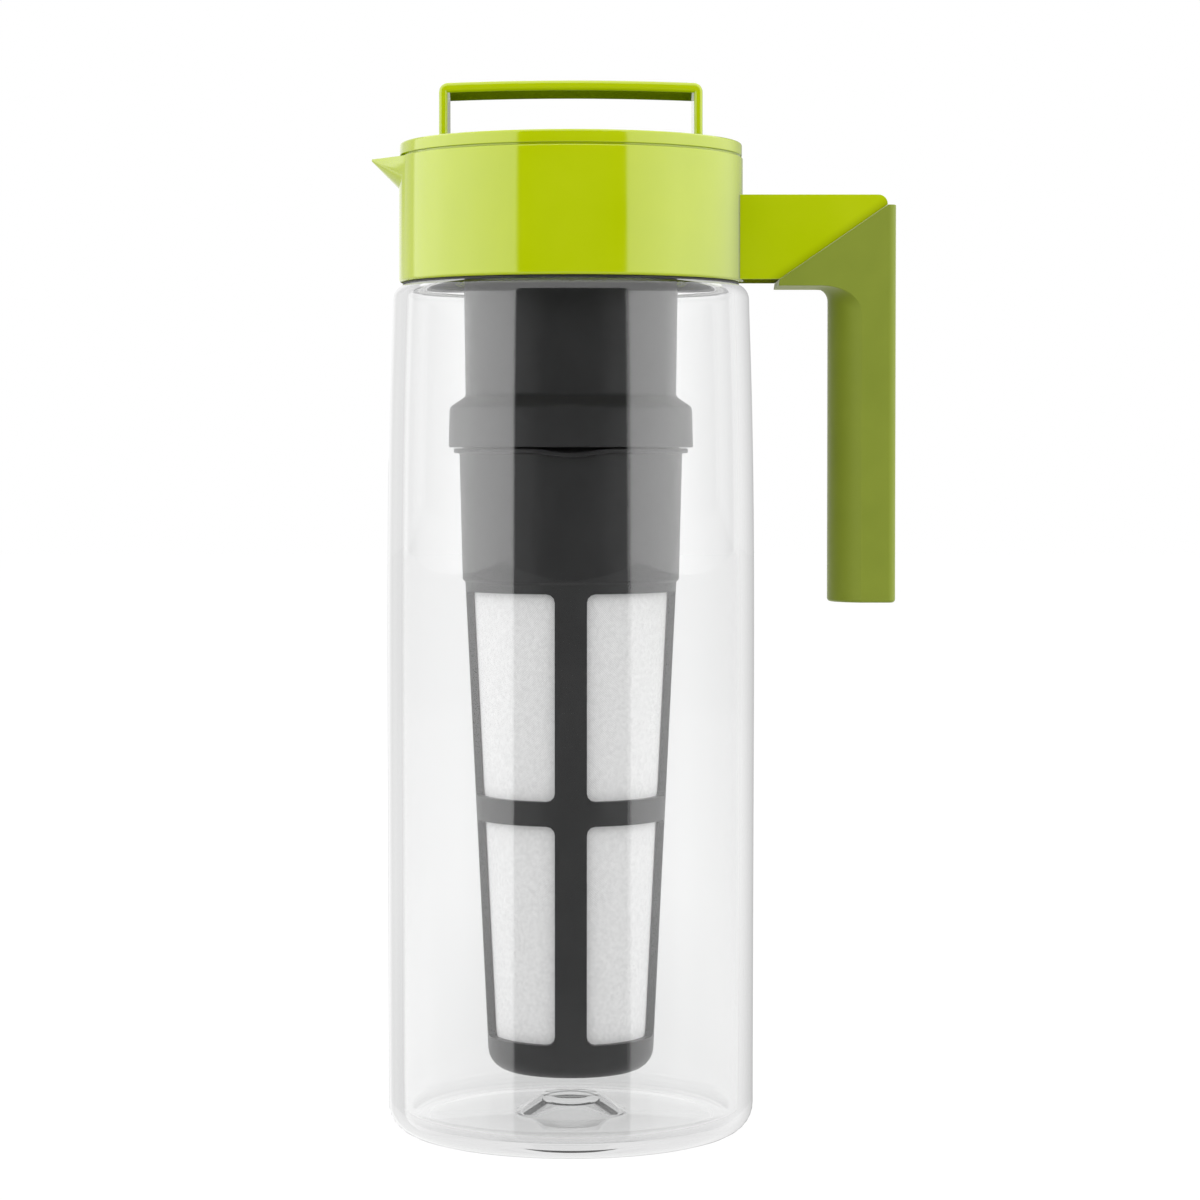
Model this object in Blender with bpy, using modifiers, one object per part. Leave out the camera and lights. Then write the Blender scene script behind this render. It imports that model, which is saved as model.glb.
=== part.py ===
"""Iced tea pitcher: a clear jug whose collar carries a spout and a side handle, and a turning lid with a brewing
infuser hung from it. Metres, +Z up, origin on the jug's axis at the table, spout at -X and handle at +X."""

import math

import bmesh
import bpy
from mathutils import Matrix, Vector

MM = 0.001

# Fits
FIT = 0.3 * MM
TURNING_GAP = 0.5 * MM
SEAM_GAP = 0.4 * MM
ROUND_STEPS = 48

# Jug
JUG_RADIUS = 54.0 * MM
JUG_WALL = 4.3 * MM
SHOULDER_HEIGHT = 249.3 * MM
BELLY_HEIGHT = 130.0 * MM
FOOT_DRAFT = 0.25 * MM
SHOULDER_TAPER = 1.95 * MM
SHOULDER_ROUND = 4.5 * MM
SHOULDER_STEP = 7.4 * MM
FOOT_ROUND = 8.0 * MM
FOOT_RING_WIDTH = 3.7 * MM
FOOT_RECESS = 1.5 * MM
JUG_FLOOR = 5.2 * MM
FLOOR_ROUND = 6.0 * MM
PUNT_RADIUS = 16.0 * MM
PUNT_CREST_RADIUS = 6.5 * MM
PUNT_HEIGHT = 5.4 * MM
NECK_HEIGHT = 12.7 * MM
NECK_WALL = 3.4 * MM
LIP_ROUND = 0.8 * MM
BEAD_RISE = 5.2 * MM
BEAD_HEIGHT = 3.0 * MM
BEAD_DEPTH = 0.6 * MM

# Collar and spout
COLLAR_HEIGHT = 36.4 * MM
COLLAR_WALL = 3.6 * MM
COLLAR_UPPER_WALL = 3.2 * MM
COLLAR_EDGE_ROUND = 2.5 * MM
COLLAR_RIM_ROUND = 0.4 * MM
NECK_SEAL_THICKNESS = 1.7 * MM
NECK_SEAL_INSET = 0.4 * MM
LEDGE_THICKNESS = 2.2 * MM
SPOUT_REACH = 8.0 * MM
SPOUT_DEPTH = 8.4 * MM
SPOUT_WIDTH = 23.2 * MM
SPOUT_WALL = 1.7 * MM
SPOUT_TIP_WIDTH = 1.6 * MM
SPOUT_DROP = 0.2 * MM

# Handle
ARM_DROP = 11.3 * MM
ARM_RISE = 0.5 * MM
ARM_LENGTH = 41.65 * MM
ARM_WIDTH = 25.0 * MM
ARM_CORNER_ROUND = 2.7 * MM
TONGUE_DEPTH = 2.0 * MM
TONGUE_MARGIN = 3.5 * MM
GRIP_START = 10.2 * MM
GRIP_SHOULDER_DROP = 2.9 * MM
GRIP_SPINE = 2.55 * MM
GRIP_WIDTH = 26.0 * MM
GRIP_DEPTH = 19.1 * MM
GRIP_LENGTH = 94.2 * MM
GRIP_UNDERCUT = 1.9 * MM
GRIP_BOW = 9.0 * MM
GRIP_EDGE_ROUND = 2.4 * MM
GRIP_INNER_ROUND = 4.0 * MM
GRIP_WALL = 2.0 * MM

# Lid
CAP_STEP = 0.25 * MM
CAP_HEIGHT = 3.8 * MM
CAP_CROWN = 0.4 * MM
CAP_EDGE_ROUND = 0.7 * MM
CAP_RIB_INSET = 5.8 * MM
CAP_RIB_WIDTH = 1.8 * MM
CAP_RIB_DEPTH = 1.0 * MM
LOOP_INSET = 11.95 * MM
LOOP_WIDTH = 26.0 * MM
LOOP_HEIGHT = 17.6 * MM
LOOP_CROWN = 0.7 * MM
LOOP_STRAP = 2.9 * MM
LOOP_LEG = 2.5 * MM
LOOP_CORNER_ROUND = 2.7 * MM
LOOP_FOOT_DEPTH = 2.0 * MM
PLUG_WALL = 3.2 * MM
PLUG_PLATE = 2.5 * MM
LID_SEAL_HEIGHT = 3.4 * MM
LID_SEAL_DEPTH = 1.8 * MM
LID_SEAL_LAND = 1.5 * MM
WINDOW_WIDTH = 18.0 * MM
WINDOW_LAND = 2.5 * MM

# Infuser
POUR_GAP = 7.2 * MM
LUG_COUNT = 3
LUG_WIDTH = 10.0 * MM
LUG_HEIGHT = 2.4 * MM
TAB_WIDTH = 17.0 * MM
TAB_HEIGHT = 2.4 * MM
SOCKET_WALL = 2.0 * MM
SOCKET_LUG_DEPTH = 1.6 * MM
TUBE_STEP = 5.0 * MM
TUBE_DRAFT = 0.7 * MM
TUBE_WALL = 2.2 * MM
TUBE_LIP = 3.6 * MM
TUBE_LENGTH = 50.8 * MM
CONNECTOR_CONE = 3.1 * MM
CONNECTOR_HEIGHT = 11.8 * MM
CONNECTOR_DRAFT = 0.3 * MM
CONNECTOR_WALL = 2.3 * MM
SPIGOT_LUG_DEPTH = 1.1 * MM
SPIGOT_HEIGHT = 9.0 * MM
SPIGOT_TAB_RISE = 1.0 * MM
FLANGE_STEP = 1.5 * MM
FLANGE_HEIGHT = 1.4 * MM
BASKET_STEP = 1.7 * MM
BASKET_DRAFT = 0.9 * MM
BASKET_BODY_HEIGHT = 37.0 * MM
BASKET_LEDGE = 0.75 * MM
BASKET_TAPER = 7.2 * MM
BASKET_WALL = 2.4 * MM
BASKET_FLOOR = 3.0 * MM
BASKET_FLOOR_ROUND = 8.0 * MM
BASKET_GAP = 6.8 * MM
RIB_WIDTH = 9.1 * MM
WINDOW_SILL = 11.0 * MM
WINDOW_HEAD = 3.4 * MM
WINDOW_RING = 7.1 * MM
WINDOW_RING_DROP = 59.9 * MM
WINDOW_ROUND = 2.4 * MM
MESH_THICKNESS = 0.6 * MM
MESH_FOOT = 3.5 * MM

# Radii that follow from the sizes above, from the jug's side inwards
NECK_RADIUS = JUG_RADIUS - SHOULDER_STEP
NECK_BORE = NECK_RADIUS - NECK_WALL
COLLAR_BORE = NECK_RADIUS + FIT
COLLAR_RADIUS = COLLAR_BORE + COLLAR_WALL
UPPER_BORE = COLLAR_RADIUS - COLLAR_UPPER_WALL
PLUG_RADIUS = UPPER_BORE - TURNING_GAP
CAP_RADIUS = COLLAR_RADIUS - CAP_STEP
CAP_RIB_RADIUS = PLUG_RADIUS - CAP_RIB_INSET
CONNECTOR_RADIUS = NECK_BORE - POUR_GAP
CONNECTOR_BORE = CONNECTOR_RADIUS - CONNECTOR_WALL
TUBE_RADIUS = CONNECTOR_RADIUS - TUBE_STEP
SOCKET_RADIUS = TUBE_RADIUS + TUBE_DRAFT
SOCKET_LUG_REACH = SOCKET_RADIUS + SOCKET_LUG_DEPTH
SOCKET_BORE = math.hypot(SOCKET_LUG_REACH, LUG_WIDTH / 2) + FIT
SPIGOT_LUG_REACH = math.sqrt((CONNECTOR_BORE - FIT) ** 2 - (LUG_WIDTH / 2) ** 2)
SPIGOT_RADIUS = SPIGOT_LUG_REACH - SPIGOT_LUG_DEPTH
FLANGE_RADIUS = CONNECTOR_RADIUS - FLANGE_STEP
BASKET_RADIUS = FLANGE_RADIUS - BASKET_STEP

# Heights that follow, from the shoulder upwards
NECK_TOP = SHOULDER_HEIGHT + NECK_HEIGHT
COLLAR_BOTTOM = SHOULDER_HEIGHT + SEAM_GAP
COLLAR_TOP = COLLAR_BOTTOM + COLLAR_HEIGHT
BEAD_BOTTOM = SHOULDER_HEIGHT + BEAD_RISE
LEDGE_BOTTOM = NECK_TOP + FIT + NECK_SEAL_THICKNESS + FIT
LEDGE_TOP = LEDGE_BOTTOM + LEDGE_THICKNESS
CAP_BOTTOM = COLLAR_TOP + SEAM_GAP
CAP_TOP = CAP_BOTTOM + CAP_HEIGHT
LOOP_TOP = CAP_TOP + LOOP_HEIGHT
PLUG_TOP = CAP_BOTTOM - FIT
PLUG_CEILING = PLUG_TOP - PLUG_PLATE
PLUG_BOTTOM = LEDGE_TOP + TURNING_GAP
SEAL_GROOVE_BOTTOM = PLUG_BOTTOM + LID_SEAL_LAND
SEAL_GROOVE_TOP = SEAL_GROOVE_BOTTOM + LID_SEAL_HEIGHT + 2 * FIT

# Heights of the infuser, from its socket in the lid downwards
SOCKET_TAB_TOP = PLUG_BOTTOM + TAB_HEIGHT
TUBE_LUG_BOTTOM = SOCKET_TAB_TOP + FIT
TUBE_TOP = TUBE_LUG_BOTTOM + LUG_HEIGHT + TUBE_LIP
TUBE_BOTTOM = PLUG_BOTTOM - TUBE_LENGTH
CONNECTOR_TOP = TUBE_BOTTOM - CONNECTOR_CONE
CONNECTOR_BOTTOM = CONNECTOR_TOP - CONNECTOR_HEIGHT
FLANGE_TOP = CONNECTOR_BOTTOM - FIT
SPIGOT_TOP = FLANGE_TOP + SPIGOT_HEIGHT
SPIGOT_TAB_BOTTOM = CONNECTOR_BOTTOM + SPIGOT_TAB_RISE
SPIGOT_LUG_BOTTOM = SPIGOT_TAB_BOTTOM + TAB_HEIGHT + FIT
BASKET_SHOULDER = FLANGE_TOP - FLANGE_HEIGHT
BASKET_LEDGE_TOP = BASKET_SHOULDER - BASKET_BODY_HEIGHT
BASKET_BOTTOM = JUG_FLOOR + PUNT_HEIGHT + BASKET_GAP
WINDOW_BOTTOM = BASKET_BOTTOM + WINDOW_SILL
WINDOW_TOP = BASKET_LEDGE_TOP - WINDOW_HEAD

# Edges of the handle, seen from the front
ARM_TOP = COLLAR_TOP - ARM_DROP
ARM_BOTTOM = COLLAR_BOTTOM + ARM_RISE
ARM_END = COLLAR_RADIUS + ARM_LENGTH
GRIP_OUTER = ARM_END + GRIP_SPINE
GRIP_INNER = GRIP_OUTER - GRIP_DEPTH
GRIP_UNDERSIDE = ARM_BOTTOM - GRIP_UNDERCUT
GRIP_BOTTOM = ARM_BOTTOM - GRIP_LENGTH
DIAGONAL_START = Vector((COLLAR_RADIUS + GRIP_START, ARM_BOTTOM))
DIAGONAL_END = Vector((ARM_END, ARM_TOP - GRIP_SHOULDER_DROP))


def finish(name, colour, roughness, opacity=1.0, transmission=0.0):
    """A plain moulded finish."""
    material = bpy.data.materials.new(name)
    material.use_nodes = True
    shader = material.node_tree.nodes["Principled BSDF"]
    shader.inputs["Base Color"].default_value = (*colour, 1.0)
    shader.inputs["Roughness"].default_value = roughness
    shader.inputs["Metallic"].default_value = 0.0
    shader.inputs["Alpha"].default_value = opacity
    shader.inputs["Transmission Weight"].default_value = transmission
    return material


def arc(centre_radius, centre_height, radius, start, end, steps=4):
    """Points of a round, from one angle to another in degrees, counted from the outward direction."""
    points = []
    for step in range(steps + 1):
        angle = math.radians(start + (end - start) * step / steps)
        points.append((centre_radius + radius * math.cos(angle), centre_height + radius * math.sin(angle)))
    return points


def place(name, mesh, collection):
    """An object for a mesh. Cutters and other helpers stay out of the finished model."""
    piece = bpy.data.objects.new(name, mesh)
    collection.objects.link(piece)
    if collection == helpers:
        piece.hide_render = True
        piece.display_type = "WIRE"
    return piece


def turned(name, profile, collection, closed=True):
    """A lathe shape from (radius, height) points that run down the outer side."""
    mesh = bpy.data.meshes.new(name)
    shape = bmesh.new()
    points = [shape.verts.new((radius, 0.0, height)) for radius, height in profile]
    for first, second in zip(points, points[1:]):
        shape.edges.new((first, second))
    if closed:
        shape.edges.new((points[-1], points[0]))
    shape.to_mesh(mesh)
    shape.free()
    piece = place(name, mesh, collection)
    screw = piece.modifiers.new("Turn", "SCREW")
    screw.steps = ROUND_STEPS
    screw.render_steps = ROUND_STEPS
    screw.use_merge_vertices = True
    screw.merge_threshold = 0.01 * MM
    return piece


def extruded(name, outline, half_width, collection, upright=True):
    """A flat outline pushed out to both sides: an upright one is drawn in X and Z, a lying one in X and Y."""
    curve = bpy.data.curves.new(name, "CURVE")
    curve.dimensions = "2D"
    curve.fill_mode = "BOTH"
    curve.extrude = half_width
    spline = curve.splines.new("POLY")
    spline.points.add(len(outline) - 1)
    for point, (across, along) in zip(spline.points, outline):
        point.co = (across, along, 0.0, 1.0)
    spline.use_cyclic_u = True
    sketch = bpy.data.objects.new(name + "_outline", curve)
    bpy.context.scene.collection.objects.link(sketch)
    bpy.context.view_layer.update()
    mesh = bpy.data.meshes.new_from_object(sketch.evaluated_get(bpy.context.evaluated_depsgraph_get()))
    bpy.data.objects.remove(sketch)
    mesh.name = name
    shape = bmesh.new()
    shape.from_mesh(mesh)
    bmesh.ops.remove_doubles(shape, verts=shape.verts, dist=0.001 * MM)
    if upright:
        bmesh.ops.transform(shape, matrix=Matrix.Rotation(math.pi / 2, 4, "X"), verts=shape.verts)
    bmesh.ops.recalc_face_normals(shape, faces=shape.faces)
    shape.to_mesh(mesh)
    shape.free()
    return place(name, mesh, collection)


def box(low, high):
    """Matrix that makes a unit cube fill the space between two corners."""
    low = Vector(low)
    high = Vector(high)
    return Matrix.Translation((low + high) / 2) @ Matrix.Diagonal((*(high - low), 1.0))


def blocks(name, matrices, rounding=0.0):
    """One helper made of separate boxes."""
    mesh = bpy.data.meshes.new(name)
    shape = bmesh.new()
    for matrix in matrices:
        bmesh.ops.create_cube(shape, size=1.0, matrix=matrix)
    if rounding:
        bmesh.ops.bevel(
            shape,
            geom=shape.edges[:],
            offset=rounding,
            segments=3,
            profile=0.5,
            affect="EDGES",
        )
    shape.to_mesh(mesh)
    shape.free()
    return place(name, mesh, helpers)


def around(count):
    """Turns about the jug's axis, evenly spaced."""
    return [Matrix.Rotation(2 * math.pi * index / count, 4, "Z") for index in range(count)]


def combine(piece, helper, operation):
    boolean = piece.modifiers.new(helper.name, "BOOLEAN")
    boolean.operation = operation
    boolean.object = helper


def dress(piece, material, parent):
    """Gives a finished piece its material, its smooth shading and its place in the assembly."""
    piece.data.materials.append(material)
    piece.data.shade_smooth()
    piece.data.set_sharp_from_angle(angle=math.radians(35))
    piece.parent = parent
    piece.matrix_parent_inverse = parent.matrix_world.inverted()


def axis_marker(name, height):
    """An empty on the jug's axis, which the pieces that turn together hang from."""
    marker = bpy.data.objects.new(name, None)
    marker.matrix_world = Matrix.Translation((0.0, 0.0, height))
    parts.objects.link(marker)
    bpy.context.view_layer.update()
    return marker


def jug_side(height):
    """Outer radius of the jug: a slight draft up to the belly, then a taper that quickens to the shoulder."""
    if height < BELLY_HEIGHT:
        return JUG_RADIUS - FOOT_DRAFT * (1 - height / BELLY_HEIGHT)
    rise = (height - BELLY_HEIGHT) / (SHOULDER_HEIGHT - BELLY_HEIGHT)
    return JUG_RADIUS - SHOULDER_TAPER * rise**3


def side_heights(low, high, steps=6):
    """Heights up the jug's side, closer together towards the shoulder."""
    heights = [low]
    for step in range(steps + 1):
        heights.append(high - (high - BELLY_HEIGHT) * (1 - step / steps) ** 1.5)
    return heights


def punt(foot_radius, crest_radius, foot, crest):
    """The small rise in the middle of the floor, from its crest on the axis out to its foot."""
    middle_radius = (foot_radius + crest_radius) / 2
    middle = foot + 0.55 * (crest - foot)
    return [(0.0, crest), (crest_radius, foot + 0.9 * (crest - foot)), (middle_radius, middle), (foot_radius, foot)]


def jug_body():
    inner_top = SHOULDER_HEIGHT - JUG_WALL
    inner_side_top = inner_top - SHOULDER_ROUND
    inner_side_bottom = JUG_FLOOR + FLOOR_ROUND
    outer_side_top = SHOULDER_HEIGHT - SHOULDER_ROUND

    profile = punt(PUNT_RADIUS, PUNT_CREST_RADIUS, JUG_FLOOR, JUG_FLOOR + PUNT_HEIGHT)
    corner = jug_side(inner_side_bottom) - JUG_WALL - FLOOR_ROUND
    profile += arc(corner, inner_side_bottom, FLOOR_ROUND, -90, 0)
    for height in side_heights(inner_side_bottom, inner_side_top)[1:]:
        profile.append((jug_side(height) - JUG_WALL, height))
    corner = jug_side(inner_side_top) - JUG_WALL - SHOULDER_ROUND
    profile += arc(corner, inner_side_top, SHOULDER_ROUND, 0, 90)[1:]
    profile.append((NECK_BORE, inner_top + (corner - NECK_BORE)))
    profile += arc(NECK_BORE + LIP_ROUND, NECK_TOP - LIP_ROUND, LIP_ROUND, 180, 90, 2)
    profile += arc(NECK_RADIUS - LIP_ROUND, NECK_TOP - LIP_ROUND, LIP_ROUND, 90, 0, 2)
    profile.append((NECK_RADIUS, BEAD_BOTTOM + BEAD_HEIGHT))
    profile.append((NECK_RADIUS + BEAD_DEPTH, BEAD_BOTTOM + BEAD_HEIGHT - BEAD_DEPTH))
    profile.append((NECK_RADIUS + BEAD_DEPTH, BEAD_BOTTOM + BEAD_DEPTH))
    profile.append((NECK_RADIUS, BEAD_BOTTOM))
    profile.append((NECK_RADIUS, SHOULDER_HEIGHT))
    profile += arc(jug_side(outer_side_top) - SHOULDER_ROUND, outer_side_top, SHOULDER_ROUND, 90, 0)
    for height in reversed(side_heights(FOOT_ROUND, outer_side_top)[:-1]):
        profile.append((jug_side(height), height))
    ring = jug_side(FOOT_ROUND) - FOOT_ROUND
    profile += arc(ring, FOOT_ROUND, FOOT_ROUND, 0, -90, 5)[1:]
    profile.append((ring - FOOT_RING_WIDTH, 0.0))
    profile.append((ring - FOOT_RING_WIDTH - FOOT_RECESS, FOOT_RECESS))
    hollow = punt(PUNT_RADIUS - FOOT_RECESS, PUNT_CREST_RADIUS, FOOT_RECESS, FOOT_RECESS + PUNT_HEIGHT)
    profile += reversed(hollow)
    return turned("jug_body", profile, parts, closed=False)


def neck_gasket():
    outer = NECK_RADIUS - NECK_SEAL_INSET
    inner = NECK_BORE + NECK_SEAL_INSET
    bottom = NECK_TOP + FIT
    top = bottom + NECK_SEAL_THICKNESS
    return turned("neck_gasket", [(outer, top), (outer, bottom), (inner, bottom), (inner, top)], parts)


def beak(name, inset, back, trim):
    """A flattened cone that points out at the spout. The beak is its lower half, the inset one its channel."""
    reach = COLLAR_RADIUS + SPOUT_REACH - inset - back
    spread = SPOUT_WIDTH / 2 / SPOUT_REACH
    mesh = bpy.data.meshes.new(name)
    shape = bmesh.new()
    bmesh.ops.create_cone(
        shape,
        cap_ends=True,
        segments=24,
        radius1=reach * spread,
        radius2=SPOUT_TIP_WIDTH / 2,
        depth=reach,
    )
    flatten = Matrix.Diagonal((SPOUT_DEPTH / SPOUT_WIDTH * 2, 1.0, 1.0, 1.0))
    point_left = Matrix.Rotation(-math.pi / 2, 4, "Y")
    middle = Matrix.Translation((-back - reach / 2, 0.0, COLLAR_TOP - SPOUT_DROP))
    bmesh.ops.transform(shape, matrix=middle @ point_left @ flatten, verts=shape.verts)
    shape.to_mesh(mesh)
    shape.free()
    piece = place(name, mesh, helpers)
    if trim:
        reach = COLLAR_RADIUS + SPOUT_REACH
        above = box((-2 * reach, -reach, COLLAR_TOP - SPOUT_DROP), (0.0, reach, COLLAR_TOP + reach))
        combine(piece, blocks(name + "_level", [above]), "DIFFERENCE")
        middle_of_wall = COLLAR_RADIUS - COLLAR_UPPER_WALL / 2
        core = [(0.0, COLLAR_TOP + reach), (middle_of_wall, COLLAR_TOP + reach), (middle_of_wall, 0.0), (0.0, 0.0)]
        combine(piece, turned(name + "_core", core, helpers, closed=False), "DIFFERENCE")
    return piece


def tongue(margin):
    """Block on the arm's end that sits in a pocket in the collar; the margin makes the pocket."""
    depth = COLLAR_RADIUS - TONGUE_DEPTH - margin
    half_width = ARM_WIDTH / 2 - TONGUE_MARGIN + margin
    low = (depth, -half_width, ARM_BOTTOM + TONGUE_MARGIN - margin)
    high = (COLLAR_RADIUS + TONGUE_DEPTH, half_width, ARM_TOP - TONGUE_MARGIN + margin)
    return box(low, high)


def collar():
    rim = COLLAR_RIM_ROUND
    profile = arc(COLLAR_RADIUS - rim, COLLAR_TOP - rim, rim, 90, 0, 2)
    edge = COLLAR_EDGE_ROUND
    profile += arc(COLLAR_RADIUS - edge, COLLAR_BOTTOM + edge, edge, 0, -90)
    profile.append((COLLAR_BORE, COLLAR_BOTTOM))
    profile.append((COLLAR_BORE, BEAD_BOTTOM - FIT))
    profile.append((COLLAR_BORE + BEAD_DEPTH, BEAD_BOTTOM + BEAD_DEPTH - FIT))
    profile.append((COLLAR_BORE + BEAD_DEPTH, BEAD_BOTTOM + BEAD_HEIGHT - BEAD_DEPTH + FIT))
    profile.append((COLLAR_BORE, BEAD_BOTTOM + BEAD_HEIGHT + FIT))
    profile.append((COLLAR_BORE, LEDGE_BOTTOM))
    profile.append((NECK_BORE + NECK_SEAL_INSET, LEDGE_BOTTOM))
    profile.append((NECK_BORE + NECK_SEAL_INSET, LEDGE_TOP))
    profile.append((UPPER_BORE, LEDGE_TOP))
    profile.append((UPPER_BORE, COLLAR_TOP))
    piece = turned("collar", profile, parts)
    combine(piece, beak("spout_beak", 0.0, UPPER_BORE - COLLAR_UPPER_WALL, trim=True), "UNION")
    channel_back = PLUG_RADIUS - COLLAR_UPPER_WALL
    combine(piece, beak("spout_channel", SPOUT_WALL, channel_back, trim=False), "DIFFERENCE")
    combine(piece, blocks("handle_pocket", [tongue(FIT)]), "DIFFERENCE")
    return piece


def diagonal(across, below=0.0):
    """Height of the slanting joint between arm and grip at a distance across, or that far below it."""
    run = DIAGONAL_END - DIAGONAL_START
    return DIAGONAL_START.y + (across - DIAGONAL_START.x) * run.y / run.x - below * run.length / run.x


def core_outline(margin):
    """The arm's core inside the grip, from the front; the margin makes the grip's hollow."""
    skin = GRIP_WALL + FIT - margin
    inner = GRIP_INNER + GRIP_BOW - margin
    outer = GRIP_OUTER - skin
    underside = GRIP_UNDERSIDE + skin
    bottom = GRIP_BOTTOM + skin
    start = DIAGONAL_START.x + (inner - DIAGONAL_START.x) / 3 - margin
    overlap = -GRIP_WALL / 2
    return [
        (start, underside),
        (inner, underside),
        (inner, bottom),
        (outer, bottom),
        (outer, min(diagonal(outer, overlap), DIAGONAL_END.y)),
        (start, diagonal(start, overlap)),
    ]


def handle_arm():
    inside = COLLAR_RADIUS - TONGUE_DEPTH
    corner = arc(ARM_END - ARM_CORNER_ROUND, ARM_TOP - ARM_CORNER_ROUND, ARM_CORNER_ROUND, 90, 0)
    outline = [(inside, ARM_BOTTOM), tuple(DIAGONAL_START), tuple(DIAGONAL_END), *reversed(corner), (inside, ARM_TOP)]
    piece = extruded("handle_arm", outline, ARM_WIDTH / 2, parts)
    seat = COLLAR_RADIUS + FIT
    band = [(0.0, CAP_TOP), (seat, CAP_TOP), (seat, 0.0), (0.0, 0.0)]
    combine(piece, turned("arm_seat", band, helpers, closed=False), "DIFFERENCE")
    combine(piece, blocks("arm_tongue", [tongue(0.0)]), "UNION")
    core = extruded("arm_core", core_outline(0.0), GRIP_WIDTH / 2 - GRIP_WALL - FIT, helpers)
    combine(piece, core, "UNION")
    return piece


def grip_prism(name, inner_side, bottom, top):
    """An upright prism with the grip's flat sides and rounded outer corners, closed by a given inner side."""
    half_width = GRIP_WIDTH / 2
    edge = GRIP_EDGE_ROUND
    plan = list(inner_side)
    plan += arc(GRIP_OUTER - edge, edge - half_width, edge, -90, 0, 3)
    plan += arc(GRIP_OUTER - edge, half_width - edge, edge, 0, 90, 3)
    prism = extruded(name, plan, (top - bottom) / 2, helpers, upright=False)
    prism.location.z = (top + bottom) / 2
    return prism


def grip_column():
    """The upright part of the grip, with a bowed inner side."""
    half_width = GRIP_WIDTH / 2
    bow_radius = (GRIP_BOW**2 + half_width**2) / (2 * GRIP_BOW)
    swing = math.degrees(math.asin(half_width / bow_radius))
    bow = arc(GRIP_INNER + bow_radius, 0.0, bow_radius, 180 - swing, 180 + swing, 8)
    return grip_prism("grip_column", bow, GRIP_BOTTOM, ARM_BOTTOM)


def handle_grip():
    fillet = GRIP_INNER_ROUND
    spine_top = DIAGONAL_END.y
    spine_inner = ARM_END + FIT
    start = DIAGONAL_START.x - FIT
    outline = [
        (start, GRIP_UNDERSIDE),
        *arc(GRIP_INNER - fillet, GRIP_UNDERSIDE - fillet, fillet, 90, 0),
        (GRIP_OUTER, GRIP_UNDERSIDE - fillet),
        (GRIP_OUTER, spine_top),
        (spine_inner, spine_top),
        (spine_inner, diagonal(spine_inner, FIT)),
        (DIAGONAL_START.x + FIT, diagonal(DIAGONAL_START.x + FIT, FIT)),
        (start, ARM_BOTTOM - FIT),
    ]
    piece = extruded("handle_grip", outline, GRIP_WIDTH, parts)
    square = [(COLLAR_RADIUS, GRIP_WIDTH / 2), (COLLAR_RADIUS, -GRIP_WIDTH / 2)]
    combine(piece, grip_prism("grip_sides", square, GRIP_BOTTOM, CAP_TOP), "INTERSECT")
    combine(piece, grip_column(), "UNION")
    hollow = extruded("grip_hollow", core_outline(FIT), GRIP_WIDTH / 2 - GRIP_WALL, helpers)
    combine(piece, hollow, "DIFFERENCE")
    return piece


def loop_end(margin):
    """The two feet of the lid's strap in the cap; the margin makes their pockets."""
    outer = CAP_RADIUS - LOOP_INSET
    places = []
    for turn in around(2):
        low = (outer - LOOP_LEG - margin, -LOOP_WIDTH / 2 - margin, CAP_TOP - LOOP_FOOT_DEPTH - margin)
        high = (outer + margin, LOOP_WIDTH / 2 + margin, CAP_TOP + LOOP_FOOT_DEPTH)
        places.append(turn @ box(low, high))
    return places


def lid_cap():
    edge = CAP_EDGE_ROUND
    flat = CAP_RADIUS - edge
    profile = []
    for step in range(4):
        share = step / 4
        profile.append((flat * share, CAP_TOP + CAP_CROWN * (1 - share**2)))
    profile += arc(flat, CAP_TOP - edge, edge, 90, 0, 3)
    profile.append((CAP_RADIUS, CAP_BOTTOM))
    profile.append((CAP_RIB_RADIUS, CAP_BOTTOM))
    profile.append((CAP_RIB_RADIUS, CAP_BOTTOM - CAP_RIB_DEPTH))
    profile.append((CAP_RIB_RADIUS - CAP_RIB_WIDTH, CAP_BOTTOM - CAP_RIB_DEPTH))
    profile.append((CAP_RIB_RADIUS - CAP_RIB_WIDTH, CAP_BOTTOM))
    profile.append((0.0, CAP_BOTTOM))
    piece = turned("lid_cap", profile, parts, closed=False)
    combine(piece, blocks("loop_pockets", loop_end(FIT)), "DIFFERENCE")
    return piece


def loop_line(half_span, height, steps=8):
    """A slightly crowned line across the lid, from its left end to its right."""
    points = []
    for step in range(steps + 1):
        across = half_span * (2 * step / steps - 1)
        points.append((across, height + LOOP_CROWN * (1 - (across / half_span) ** 2)))
    return points


def lid_loop():
    outer = CAP_RADIUS - LOOP_INSET
    inner = outer - LOOP_LEG
    shoulder = LOOP_TOP - LOOP_CROWN
    bend = LOOP_CORNER_ROUND
    foot = CAP_TOP - LOOP_FOOT_DEPTH
    outline = [(-outer, foot)]
    outline += arc(bend - outer, shoulder - bend, bend, 180, 90)[:-1]
    outline += loop_line(outer - bend, shoulder)
    outline += arc(outer - bend, shoulder - bend, bend, 90, 0)[1:]
    outline += [(outer, foot), (inner, foot)]
    outline += reversed(loop_line(inner, shoulder - LOOP_STRAP))
    outline.append((-inner, foot))
    return extruded("lid_loop", outline, LOOP_WIDTH / 2, parts)


def tabs(face, shell_radius, bottom):
    """Inward tabs of a bayonet socket, which carry the lugs: flat blocks grown out of the socket's wall."""
    back = math.sqrt((shell_radius - FIT) ** 2 - (TAB_WIDTH / 2) ** 2)
    tab = box((face, -TAB_WIDTH / 2, bottom), (back, TAB_WIDTH / 2, bottom + TAB_HEIGHT))
    return [turn @ tab for turn in around(LUG_COUNT)]


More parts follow.
